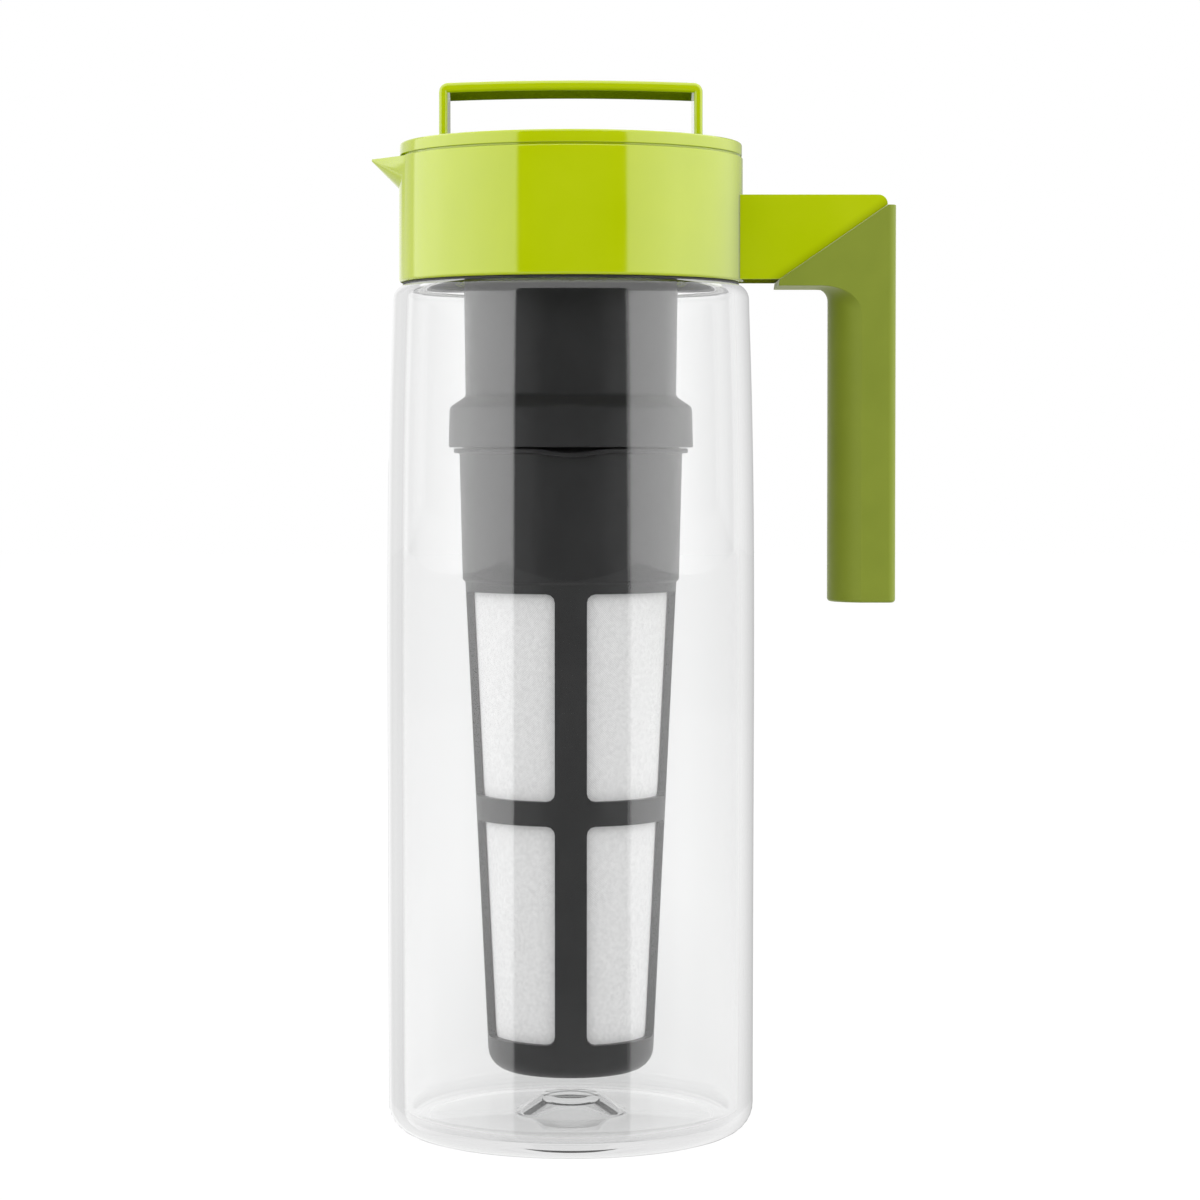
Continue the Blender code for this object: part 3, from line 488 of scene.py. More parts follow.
def slab(outline, half_width, rounds):
    """A bmesh slab from an upright outline of (x, z) points; rounds give a corner's index and its radius."""
    shape = bmesh.new()
    points = [shape.verts.new((x * MM, -half_width * MM, z * MM)) for x, z in outline]
    shape.faces.new(points)
    for index, radius in rounds:
        bmesh.ops.bevel(
            shape,
            geom=[points[index]],
            offset=radius * MM,
            offset_type="OFFSET",
            segments=8,
            profile=0.5,
            affect="VERTICES",
            material=-1,
        )
    face = shape.faces[:][0]
    pushed = bmesh.ops.extrude_face_region(shape, geom=[face])
    moved = [item for item in pushed["geom"] if isinstance(item, bmesh.types.BMVert)]
    bmesh.ops.translate(shape, vec=(0.0, 2 * half_width * MM, 0.0), verts=moved)
    bmesh.ops.recalc_face_normals(shape, faces=shape.faces)
    return shape


def soften(shape, radius, wanted, steps=4):
    """Rounds the edges that a test picks."""
    bmesh.ops.bevel(
        shape,
        geom=[edge for edge in shape.edges if wanted(edge)],
        offset=radius * MM,
        offset_type="OFFSET",
        segments=steps,
        profile=0.5,
        affect="EDGES",
        clamp_overlap=True,
        material=-1,
    )


def even_shading(piece):
    """Keeps flat faces flat beside their rounded edges."""
    weighted = piece.modifiers.new("even_shading", "WEIGHTED_NORMAL")
    weighted.keep_sharp = True
    weighted.weight = 80


arm_outline = [(ARM_ROOT, ARM_BOTTOM), SLANT_START, SLANT_END, (ARM_END, ARM_TOP), (ARM_ROOT, ARM_TOP)]
lime_arm = piece_of("lime_arm", slab(arm_outline, ARM_HALF_WIDTH, [(3, ARM_CORNER_ROUND)]))
joined(lime_arm, bar("arm_seat", *ARM_SEAT_CUT, ARM_SEAT_STEPS), "DIFFERENCE")
shape = bmesh.new()
shape.from_mesh(lime_arm.data)
bmesh.ops.remove_doubles(shape, verts=shape.verts, dist=0.002 * MM)
slant_run = Vector((SLANT_END[0] - SLANT_START[0], 0.0, SLANT_END[1] - SLANT_START[1]))
slant = slant_run.cross((0.0, 1.0, 0.0)).normalized()


def on_slant(face):
    """True for the arm's slanting end."""
    return abs(face.normal.dot(slant)) > 0.99


def arm_edge(edge):
    """True for a sharp edge that isn't on the slanting end or on the seat against the collar."""
    if len(edge.link_faces) != 2 or edge.calc_face_angle(0.0) < 0.5:
        return False
    return not any(on_slant(face) or face.normal.x < -0.5 for face in edge.link_faces)


soften(shape, ARM_EDGE_ROUND, arm_edge)
shape.to_mesh(lime_arm.data)
shape.free()
lime_arm.data.shade_smooth()
lime_arm.data.set_sharp_from_angle(angle=math.radians(35.0))
even_shading(lime_arm)
# The arm gets its own copy of the lime finish, with shade painted into its colour near the slanting seam.
arm_plastic = glossy_lime("glossy_lime_arm_painted_shade")
tree = arm_plastic.node_tree
place = tree.nodes.new("ShaderNodeTexCoord")
from_seam = tree.nodes.new("ShaderNodeVectorMath")
from_seam.operation = "SUBTRACT"
from_seam.inputs[1].default_value = (SLANT_START[0] * MM, 0.0, SLANT_START[1] * MM)
tree.links.new(place.outputs["Object"], from_seam.inputs[0])
off_seam = tree.nodes.new("ShaderNodeVectorMath")
off_seam.operation = "DOT_PRODUCT"
off_seam.inputs[1].default_value = slant
tree.links.new(from_seam.outputs["Vector"], off_seam.inputs[0])
above_seam = sums(tree, "ABSOLUTE", off_seam.outputs["Value"])
reach = sums(tree, "SUBTRACT", 1.0, sums(tree, "DIVIDE", above_seam, PAINTED_SHADE_REACH * MM))
shade = sums(tree, "POWER", sums(tree, "MAXIMUM", reach, 0.0), PAINTED_SHADE_FALL)
shaded = tree.nodes.new("ShaderNodeMix")
shaded.data_type = "RGBA"
shaded.inputs["B"].default_value = PAINTED_SEAM_SHADE
base = tree.nodes["Principled BSDF"].inputs["Base Color"]
tree.links.new(shade, shaded.inputs["Factor"])
tree.links.new(base.links[0].from_socket, shaded.inputs["A"])
tree.links.new(shaded.outputs["Result"], base)
lime_arm.data.materials.append(arm_plastic)
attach(lime_arm, "jug")
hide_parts("handle_arm")
lime_arm.visible_glossy = False


# The grip is a soft-touch olive elastomer, moulded over the arm's end as a gusset and a hanging column.
# Its outer corners are rounded, and its inner side swells towards the fingers and fades out under the arm.
GRIP_OUTER = 94.7
GRIP_INNER = 75.6
GRIP_CREASE = 84.6
GRIP_HALF_WIDTH = 13.0
GRIP_UNDERSIDE = 248.3
GRIP_MIDDLE = 200.0
GRIP_BOTTOM = 156.0
GRIP_TIP = 60.4
GRIP_SEAM = 0.04
CREASE_TURN = (73.0, 240.6)
SWELL_TURN = (71.6, 244.3)
SWELL_STEPS = 28
BEND_STEPS = 10
OUTER_ROUND = 2.4
FOOT_EDGE_ROUND = 1.0
FINE_EDGE_ROUND = 0.35
OLIVE_DARK = (0.188, 0.240, 0.011, 1.0)
OLIVE_LIGHT = (0.207, 0.260, 0.015, 1.0)

slant_rise = (SLANT_END[1] - SLANT_START[1]) / (SLANT_END[0] - SLANT_START[0])
slant_drop = GRIP_SEAM * math.hypot(1.0, slant_rise)


def bend(side, turn):
    """The line of the grip's inner side, from the gusset's tip round the bend and down to the grip's foot."""
    line = [(GRIP_TIP, GRIP_UNDERSIDE)]
    for step in range(BEND_STEPS + 1):
        angle = math.pi / 2 * step / BEND_STEPS
        across = turn[0] + (side - turn[0]) * math.sin(angle)
        line.append((across, turn[1] + (GRIP_UNDERSIDE - turn[1]) * math.cos(angle)))
    return line + [(side, GRIP_MIDDLE), (side, GRIP_BOTTOM)]


crease = bend(GRIP_CREASE, CREASE_TURN)
swell = bend(GRIP_INNER, SWELL_TURN)
back_outline = [
    (GRIP_OUTER, GRIP_BOTTOM),
    (GRIP_OUTER, GRIP_MIDDLE),
    (GRIP_OUTER, SLANT_END[1]),
    (ARM_END + GRIP_SEAM, SLANT_END[1] - slant_drop),
    (SLANT_START[0], SLANT_START[1] - slant_drop),
]
swell_depth = GRIP_CREASE - GRIP_INNER
swell_radius = (swell_depth**2 + GRIP_HALF_WIDTH**2) / (2 * swell_depth)
swell_angle = math.asin(GRIP_HALF_WIDTH / swell_radius)
shape = bmesh.new()
ring = [shape.verts.new((x * MM, -GRIP_HALF_WIDTH * MM, z * MM)) for x, z in crease + back_outline]
rim = [shape.edges.new((ring[index - 1], ring[index])) for index in range(len(ring))]
bmesh.ops.contextual_create(shape, geom=rim)
for step in range(1, SWELL_STEPS + 1):
    angle = swell_angle * (2 * step / SWELL_STEPS - 1)
    share = (swell_radius * math.cos(angle) - (swell_radius - swell_depth)) / swell_depth
    pushed = bmesh.ops.extrude_edge_only(shape, edges=rim)["geom"]
    moved = {item for item in pushed if isinstance(item, bmesh.types.BMVert)}
    ring = [
        next(edge.other_vert(old) for edge in old.link_edges if edge.other_vert(old) in moved)
        for old in ring
    ]
    rim = [shape.edges.get((ring[index - 1], ring[index])) for index in range(len(ring))]
    for vertex in ring:
        vertex.co.y = swell_radius * math.sin(angle) * MM
    for vertex, flat, full in zip(ring, crease, swell):
        vertex.co.x = (flat[0] + (full[0] - flat[0]) * share) * MM
        vertex.co.z = (flat[1] + (full[1] - flat[1]) * share) * MM
bmesh.ops.contextual_create(shape, geom=rim)
bmesh.ops.recalc_face_normals(shape, faces=shape.faces)
bmesh.ops.dissolve_limit(shape, angle_limit=math.radians(0.5), verts=shape.verts, edges=shape.edges)


def grip_spine(edge):
    """True for the two long outer corners of the grip."""
    outer = all(abs(v.co.x - GRIP_OUTER * MM) < 1e-6 for v in edge.verts)
    return outer and edge.verts[0].co.y == edge.verts[1].co.y


def grip_foot(edge):
    """True for the edges round the grip's flat end."""
    flat = [abs(face.normal.z) > 0.9 for face in edge.link_faces]
    return all(abs(v.co.z - GRIP_BOTTOM * MM) < 1e-6 for v in edge.verts) and any(flat) and not all(flat)


def grip_rim(edge):
    """True for the sharp edges that are left, round the gusset and the spine's top."""
    return len(edge.link_faces) == 2 and edge.calc_face_angle(0.0) > 0.7


soften(shape, OUTER_ROUND, grip_spine, 8)
soften(shape, FOOT_EDGE_ROUND, grip_foot)
soften(shape, FINE_EDGE_ROUND, grip_rim, 3)
olive_grip = piece_of("olive_grip", shape, 18.0)
even_shading(olive_grip)
olive_rubber = moulded(
    "soft_olive",
    OLIVE_DARK,
    OLIVE_LIGHT,
    smooth=0.5,
    rough=0.58,
    mottle=70.0,
    grain=5200.0,
    depth=0.02 * MM,
    IOR=1.45,
    Sheen_Weight=0.4,
    Sheen_Roughness=0.3,
    Sheen_Tint=(1.0, 1.0, 0.8, 1.0),
)
tree = olive_rubber.node_tree
let_through(tree, at_least(tree, "Glossy", 1), (1.0, 1.0, 1.0, 1.0))
olive_grip.data.materials.append(olive_rubber)
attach(olive_grip, "jug")
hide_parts("handle_grip")
olive_grip.visible_glossy = False


# The lid's cap is a shallow lime disc with a small crown and a soft rim, moulded in the collar's plastic.
# A ring under it is welded into a slot in the stopper, and a step keeps its rim just above the collar.
CAP_RADIUS = 50.25
CAP_BOTTOM = 286.7
CAP_TOP = 290.3
CAP_CROWN = 0.4
CROWN_STEPS = 6
CAP_EDGE_ROUND = 0.7
CAP_STEP = 0.8
CAP_STEP_BOTTOM = 286.2
CAP_STEP_INNER = 47.6
WELD_OUTER = 41.0
WELD_INNER = 39.2
WELD_DEPTH = 1.0
WELD_ROUND = 0.2
cap_flat = CAP_RADIUS - CAP_EDGE_ROUND
cap_profile = []
for step in range(CROWN_STEPS):
    share = step / CROWN_STEPS
    cap_profile.append((cap_flat * step / CROWN_STEPS, CAP_TOP + CAP_CROWN * (1 - share**2)))
cap_profile += [
    (CAP_RADIUS, CAP_TOP, CAP_EDGE_ROUND),
    (CAP_RADIUS, CAP_BOTTOM, 0.25),
    (CAP_RADIUS - CAP_STEP, CAP_BOTTOM),
    (CAP_RADIUS - CAP_STEP, CAP_STEP_BOTTOM),
    (CAP_STEP_INNER, CAP_STEP_BOTTOM),
    (CAP_STEP_INNER, CAP_BOTTOM),
    (WELD_OUTER, CAP_BOTTOM),
    (WELD_OUTER, CAP_BOTTOM - WELD_DEPTH, WELD_ROUND),
    (WELD_INNER, CAP_BOTTOM - WELD_DEPTH, WELD_ROUND),
    (WELD_INNER, CAP_BOTTOM),
    (0.0, CAP_BOTTOM),
]
lid_disc = turned("lid_disc", cap_profile)
lid_disc.data.materials.append(lime_plastic)
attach(lid_disc, "lid")
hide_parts("lid_cap")


# The lid's strap is a flat band of the same lime plastic, slightly crowned and bent down at both ends.
# Its two legs are plugged into the cap, and its long edges are rounded for the fingers that lift the lid.
STRAP_OUTER = 38.3
STRAP_LEG = 2.5
STRAP_THICKNESS = 2.9
STRAP_HALF_WIDTH = 13.0
STRAP_SHOULDER = 307.2
STRAP_CROWN = 0.7
STRAP_FOOT = 288.3
STRAP_BEND = 2.7
STRAP_BEND_GAP = 0.3
STRAP_EDGE_ROUND = 1.1


def crowned(half_span, height, steps=12):
    """A slightly crowned line across the lid, from left to right."""
    line = []
    for step in range(steps + 1):
        share = 2 * step / steps - 1
        line.append((half_span * share, height + STRAP_CROWN * (1 - share**2)))
    return line


strap_inner = STRAP_OUTER - STRAP_LEG
strap_outline = [(-STRAP_OUTER, STRAP_FOOT), (-STRAP_OUTER, STRAP_SHOULDER)]
strap_outline += crowned(STRAP_OUTER - STRAP_BEND - STRAP_BEND_GAP, STRAP_SHOULDER)
strap_outline += [(STRAP_OUTER, STRAP_SHOULDER), (STRAP_OUTER, STRAP_FOOT), (strap_inner, STRAP_FOOT)]
strap_outline += reversed(crowned(strap_inner, STRAP_SHOULDER - STRAP_THICKNESS))
strap_outline.append((-strap_inner, STRAP_FOOT))
right_bend = strap_outline.index((STRAP_OUTER, STRAP_SHOULDER))
shape = slab(strap_outline, STRAP_HALF_WIDTH, [(1, STRAP_BEND), (right_bend, STRAP_BEND)])


def strap_edge(edge):
    """True for a sharp edge that runs along the strap's front or back side, above its feet."""
    if len(edge.link_faces) != 2 or edge.calc_face_angle(0.0) <= 1.2:
        return False
    first, second = edge.verts
    return first.co.z > STRAP_FOOT * MM and abs(first.co.y - second.co.y) < 1e-6


soften(shape, STRAP_EDGE_ROUND, strap_edge)
lid_strap = piece_of("lid_strap", shape)
even_shading(lid_strap)
lid_strap.data.materials.append(lime_plastic)
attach(lid_strap, "lid")
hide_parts("lid_loop")


# The stopper is the lime plug under the cap, moulded with a skirt that holds its seal in a groove.
# A pour window in the skirt faces the spout after a quarter turn,
# and three tabs in the socket in its middle carry the infuser.
STOPPER_RADIUS = 46.8
STOPPER_TOP = 286.2
STOPPER_BOTTOM = 267.0
STOPPER_CEILING = 283.7
SLOT_INNER = 38.9
SLOT_OUTER = 41.3
SLOT_DEPTH = 1.3
SKIRT_INNER = 43.6
SOCKET_OUTER = 35.97
SOCKET_BORE = 33.97
GROOVE_RADIUS = 44.9
GROOVE_LOW = 268.5
GROOVE_HIGH = 272.5
POUR_LOW = (-9.0, 39.8, 275.0)
POUR_HIGH = (9.0, 50.0, 283.4)
POUR_ROUND = 1.2
TAB_FACE = 32.0
TAB_ROOT = 34.6
TAB_HALF_WIDTH = 8.5
TAB_HEIGHT = 2.4
TAB_LIFT = 0.1
TAB_ROUND = 0.3
THIRDS = (0.0, 120.0, 240.0)


def blocks(name, low, high, turns, soft):
    """Boxes with soft edges between two corners, turned about the jug's axis by each angle in degrees."""
    shape = bmesh.new()
    size = Vector(high) - Vector(low)
    middle = (Vector(high) + Vector(low)) / 2
    for turn in turns:
        spot = Matrix.Rotation(math.radians(turn), 4, "Z") @ Matrix.Translation(middle * MM)
        bmesh.ops.create_cube(shape, size=MM, matrix=spot @ Matrix.Diagonal((*size, 1.0)))
    soften(shape, soft, lambda edge: True, 3)
    return piece_of(name, shape)


stopper_profile = [
    (0.0, STOPPER_TOP),
    (SLOT_INNER, STOPPER_TOP, 0.2),
    (SLOT_INNER, STOPPER_TOP - SLOT_DEPTH),
    (SLOT_OUTER, STOPPER_TOP - SLOT_DEPTH),
    (SLOT_OUTER, STOPPER_TOP, 0.2),
    (STOPPER_RADIUS, STOPPER_TOP, 0.4),
    (STOPPER_RADIUS, GROOVE_HIGH, 0.25),
    (GROOVE_RADIUS, GROOVE_HIGH),
    (GROOVE_RADIUS, GROOVE_LOW),
    (STOPPER_RADIUS, GROOVE_LOW, 0.25),
    (STOPPER_RADIUS, STOPPER_BOTTOM, 0.5),
    (SKIRT_INNER, STOPPER_BOTTOM, 0.4),
    (SKIRT_INNER, STOPPER_CEILING, 0.6),
    (SOCKET_OUTER, STOPPER_CEILING, 0.6),
    (SOCKET_OUTER, STOPPER_BOTTOM, 0.4),
    (SOCKET_BORE, STOPPER_BOTTOM, 0.4),
    (SOCKET_BORE, STOPPER_CEILING, 0.6),
    (0.0, STOPPER_CEILING),
]
lid_stopper = turned("lid_stopper", stopper_profile)
joined(lid_stopper, blocks("pour_window", POUR_LOW, POUR_HIGH, [0.0], POUR_ROUND), "DIFFERENCE")
tab_low = (TAB_FACE, -TAB_HALF_WIDTH, STOPPER_BOTTOM + TAB_LIFT)
tab_high = (TAB_ROOT, TAB_HALF_WIDTH, STOPPER_BOTTOM + TAB_LIFT + TAB_HEIGHT)
joined(lid_stopper, blocks("socket_tabs", tab_low, tab_high, THIRDS, TAB_ROUND), "UNION")
lid_stopper.data.materials.append(lime_plastic)
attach(lid_stopper, "lid")
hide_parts("lid_plug")


# The lid's seal is a moulded ring of milky silicone with two soft lips, stretched into the stopper's groove.
# It holds to the collar while the lid turns inside it, and it rises with the lid.
SEAL_OUTER = 47.0
SEAL_INNER = 45.2
SEAL_LOW = 268.8
SEAL_HIGH = 272.2
SEAL_WAIST = 46.1
SEAL_LIP = 0.85
seal_middle = (SEAL_LOW + SEAL_HIGH) / 2
seal_profile = [
    (SEAL_WAIST, SEAL_HIGH, 0.2),
    (SEAL_OUTER, SEAL_HIGH - SEAL_LIP, 0.3),
    (SEAL_WAIST, seal_middle, 0.3),
    (SEAL_OUTER, SEAL_LOW + SEAL_LIP, 0.3),
    (SEAL_WAIST, SEAL_LOW, 0.2),
    (SEAL_INNER, SEAL_LOW, 0.2),
    (SEAL_INNER, SEAL_HIGH, 0.2),
]
lid_seal_ring = turned("lid_seal_ring", seal_profile, closed=True, round_steps=4)
lid_seal_ring.data.materials.append(silicone)
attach(lid_seal_ring, "lid_seal")
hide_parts("lid_gasket")


# The infuser's tube is satin dark grey polypropylene. Three lugs at its top turn into the lid's socket,
# and the wide ring at its foot takes the basket's spigot in the same way.
TUBE_TOP = 275.7
TUBE_RADIUS = 31.7
TUBE_FOOT_RADIUS = 31.0
TUBE_FOOT = 216.2
TUBE_WALL = 2.2
INNER_FOOT_DROP = 1.5
RING_RADIUS = 36.0
RING_TOP_RADIUS = 35.7
RING_TOP = 213.1
RING_BOTTOM = 201.3
RING_BORE = 33.7
RING_CEILING = 210.3
LUG_HALF_WIDTH = 5.0
LUG_HEIGHT = 2.4
TUBE_LUG_LOW = 269.7
TUBE_LUG_ROOT = 30.6
TUBE_LUG_REACH = 33.3
RING_TAB_LOW = 202.3
RING_TAB_FACE = 32.4
RING_TAB_ROOT = 34.37
GREY_DARK = (0.0255, 0.0255, 0.026, 1.0)
GREY_LIGHT = (0.0305, 0.0305, 0.031, 1.0)
tube_profile = [
    (TUBE_RADIUS, TUBE_TOP, 0.5),
    (TUBE_RADIUS, STOPPER_BOTTOM),
    (TUBE_FOOT_RADIUS, TUBE_FOOT, 0.8),
    (RING_TOP_RADIUS, RING_TOP, 0.9),
    (RING_RADIUS, RING_BOTTOM, 0.5),
    (RING_BORE, RING_BOTTOM, 0.3),
    (RING_BORE, RING_CEILING, 0.5),
    (TUBE_FOOT_RADIUS - TUBE_WALL, TUBE_FOOT - INNER_FOOT_DROP, 1.0),
    (TUBE_RADIUS - TUBE_WALL, STOPPER_BOTTOM),
    (TUBE_RADIUS - TUBE_WALL, TUBE_TOP, 0.5),
]
infuser_tube = turned("infuser_tube", tube_profile, closed=True, round_steps=4)
lug_low = (TUBE_LUG_ROOT, -LUG_HALF_WIDTH, TUBE_LUG_LOW)
lug_high = (TUBE_LUG_REACH, LUG_HALF_WIDTH, TUBE_LUG_LOW + LUG_HEIGHT)
joined(infuser_tube, blocks("tube_lugs", lug_low, lug_high, THIRDS, TAB_ROUND), "UNION")
tab_low = (RING_TAB_FACE, -TAB_HALF_WIDTH, RING_TAB_LOW)
tab_high = (RING_TAB_ROOT, TAB_HALF_WIDTH, RING_TAB_LOW + TAB_HEIGHT)
joined(infuser_tube, blocks("ring_tabs", tab_low, tab_high, THIRDS, TAB_ROUND), "UNION")
grey_plastic = moulded(
    "satin_grey",
    GREY_DARK,
    GREY_LIGHT,
    smooth=0.34,
    rough=0.42,
    mottle=55.0,
    grain=3800.0,
    depth=0.01 * MM,
    IOR=1.49,
)
infuser_tube.data.materials.append(grey_plastic)
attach(infuser_tube, "infuser_neck")
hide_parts("infuser_neck")


# The basket is a tapering frame, moulded in the same grey plastic with four upright ribs,
# a ring at half height and a closed, rounded foot. Its spigot turns into the tube's ring,
# and its flange has a shallow thumb notch at the front.
FLANGE_RADIUS = 34.5
FLANGE_TOP = 201.0
BASKET_SHOULDER = 199.6
SPIGOT_RADIUS = 31.89
SPIGOT_TOP = 210.0
BASKET_RADIUS = 32.8
BASKET_STEP_RADIUS = 31.9
LEDGE_HEIGHT = 162.6
LEDGE_DEPTH = 0.75
BASKET_TAPER = 7.0
BASKET_BOTTOM = 18.1
BASKET_WALL = 2.05
BASKET_FLOOR = 3.0
BASKET_ROUND = 6.0
RIB_HALF_WIDTH = 4.55
WINDOW_ROWS = ((28.4, 92.2), (99.3, 159.2))
WINDOW_ROUND = 2.4
NOTCH_HALF_WIDTH = 12.5
NOTCH_DEPTH = 1.3
SPIGOT_LUG_LOW = 205.0
SPIGOT_LUG_ROOT = 31.2
SPIGOT_LUG_REACH = 32.99
QUARTERS = (0.0, 90.0, 180.0, 270.0)


def basket_side(height):
    """Outer radius of the basket's frame, which tapers from its ledge to its foot."""
    share = (LEDGE_HEIGHT - height) / (LEDGE_HEIGHT - BASKET_BOTTOM)
    return BASKET_STEP_RADIUS - LEDGE_DEPTH - BASKET_TAPER * share


foot_radius = basket_side(BASKET_BOTTOM)
basket_profile = [
    (0.0, BASKET_BOTTOM + BASKET_FLOOR),
    (foot_radius - BASKET_WALL, BASKET_BOTTOM + BASKET_FLOOR, BASKET_ROUND - BASKET_WALL),
    (basket_side(LEDGE_HEIGHT - LEDGE_DEPTH) - BASKET_WALL, LEDGE_HEIGHT - LEDGE_DEPTH),
    (BASKET_STEP_RADIUS - BASKET_WALL, LEDGE_HEIGHT),
    (BASKET_RADIUS - BASKET_WALL, BASKET_SHOULDER),
    (BASKET_RADIUS - BASKET_WALL, SPIGOT_TOP, 0.4),
    (SPIGOT_RADIUS, SPIGOT_TOP, 0.4),
    (SPIGOT_RADIUS, FLANGE_TOP, 0.3),
    (FLANGE_RADIUS, FLANGE_TOP, 0.45),
    (FLANGE_RADIUS, BASKET_SHOULDER, 0.5),
    (BASKET_RADIUS, BASKET_SHOULDER, 0.5),
    (BASKET_STEP_RADIUS, LEDGE_HEIGHT, 0.3),
    (basket_side(LEDGE_HEIGHT - LEDGE_DEPTH), LEDGE_HEIGHT - LEDGE_DEPTH, 0.3),
    (foot_radius, BASKET_BOTTOM, BASKET_ROUND),
    (0.0, BASKET_BOTTOM),
]
infuser_frame = turned("infuser_frame", basket_profile)
for vertex in infuser_frame.data.vertices:
    reach = math.hypot(vertex.co.x, vertex.co.y) / MM
    if vertex.co.y < 0 and reach > BASKET_RADIUS + 0.1 and abs(vertex.co.x) < NOTCH_HALF_WIDTH * MM:
        share = 0.5 + 0.5 * math.cos(math.pi * vertex.co.x / MM / NOTCH_HALF_WIDTH)
        vertex.co.z -= NOTCH_DEPTH * MM * share
for low, high in WINDOW_ROWS:
    corner_low = (RIB_HALF_WIDTH, RIB_HALF_WIDTH, low)
    corner_high = (FLANGE_RADIUS, FLANGE_RADIUS, high)
    windows = blocks("windows", corner_low, corner_high, QUARTERS, WINDOW_ROUND)
    joined(infuser_frame, windows, "DIFFERENCE")
lug_low = (SPIGOT_LUG_ROOT, -LUG_HALF_WIDTH, SPIGOT_LUG_LOW)
lug_high = (SPIGOT_LUG_REACH, LUG_HALF_WIDTH, SPIGOT_LUG_LOW + LUG_HEIGHT)
joined(infuser_frame, blocks("spigot_lugs", lug_low, lug_high, THIRDS, TAB_ROUND), "UNION")
infuser_frame.data.materials.append(grey_plastic)
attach(infuser_frame, "infuser_basket")
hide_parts("infuser_basket")


# The filter is a cone of fine white nylon cloth in a twill weave, welded to the inside of the frame,
# so it is stretched smooth. Dark pieces behind it show faintly through its gaps.
FILTER_TOP = 161.9
FILTER_BOTTOM = 24.9
FILTER_INSET = 0.35
FILTER_ROWS = 24
TWILL_PITCH = 0.41
TWILL_LEAN = 1.35
RIDGE_SHARE = 0.7
FLECK_SHARE = 0.3
FLECK_SCALE = 900.0
GAP_COVER = 0.74
THREAD_COVER = 0.3
NYLON_SHADE = (0.86, 0.86, 0.86, 1.0)
NYLON_WHITE = (0.98, 0.98, 0.98, 1.0)
filter_top_radius = basket_side(FILTER_TOP) - BASKET_WALL - FILTER_INSET
filter_foot_radius = basket_side(FILTER_BOTTOM) - BASKET_WALL - FILTER_INSET
shape = bmesh.new()
bmesh.ops.create_cone(
    shape,
    cap_ends=False,
    segments=TURN_STEPS,
    radius1=filter_foot_radius * MM,
    radius2=filter_top_radius * MM,
    depth=(FILTER_TOP - FILTER_BOTTOM) * MM,
    matrix=Matrix.Translation((0.0, 0.0, (FILTER_TOP + FILTER_BOTTOM) / 2 * MM)),
)
upright = [edge for edge in shape.edges if abs(edge.verts[0].co.z - edge.verts[1].co.z) > MM]
bmesh.ops.subdivide_edges(shape, edges=upright, cuts=FILTER_ROWS, use_grid_fill=True)
bmesh.ops.recalc_face_normals(shape, faces=shape.faces)
nylon_filter = piece_of("nylon_filter", shape)


def round_from_front(tree, source):
    """A point's three coordinates, and its turn from the front to either side."""
    place = tree.nodes.new("ShaderNodeTexCoord")
    axes = tree.nodes.new("ShaderNodeSeparateXYZ")
    tree.links.new(place.outputs[source], axes.inputs["Vector"])
    ahead = sums(tree, "MULTIPLY", axes.outputs["Y"], -1.0)
    turn = sums(tree, "ABSOLUTE", sums(tree, "ARCTAN2", axes.outputs["X"], ahead))
    return axes.outputs, turn


white_nylon, tree, shader = finish("twill_nylon", Metallic=0.0, Roughness=0.6, IOR=1.5)
axes, turn_from_front = round_from_front(tree, "Object")
round_way = sums(tree, "MULTIPLY", turn_from_front, (filter_top_radius + filter_foot_radius) / 2)
height_way = sums(tree, "MULTIPLY", axes["Z"], 1.0 / MM)
lean_way = sums(tree, "SUBTRACT", height_way, sums(tree, "MULTIPLY", round_way, TWILL_LEAN))
ridge_turn = 2 * math.pi / (TWILL_PITCH * math.hypot(1.0, TWILL_LEAN))
ridge_wave = sums(tree, "SINE", sums(tree, "MULTIPLY", lean_way, ridge_turn))
ridges = sums(tree, "MULTIPLY_ADD", ridge_wave, 0.5, 0.5)
flecks = spread(tree, noise(tree, FLECK_SCALE), 0.0, 1.0)
ridge_part = sums(tree, "MULTIPLY", ridges, RIDGE_SHARE)
thread = sums(tree, "ADD", ridge_part, sums(tree, "MULTIPLY", flecks, FLECK_SHARE))
tint = tree.nodes.new("ShaderNodeMix")
tint.data_type = "RGBA"
tint.inputs["A"].default_value = NYLON_SHADE
tint.inputs["B"].default_value = NYLON_WHITE
tree.links.new(thread, tint.inputs["Factor"])
tree.links.new(tint.outputs["Result"], shader.inputs["Base Color"])
cover = sums(tree, "MULTIPLY_ADD", thread, THREAD_COVER, GAP_COVER)
tree.links.new(cover, shader.inputs["Alpha"])
bumped(tree, shader, thread, strength=0.3, distance=0.05 * MM)
nylon_filter.data.materials.append(white_nylon)
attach(nylon_filter, "infuser_basket")
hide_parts("filter_mesh")


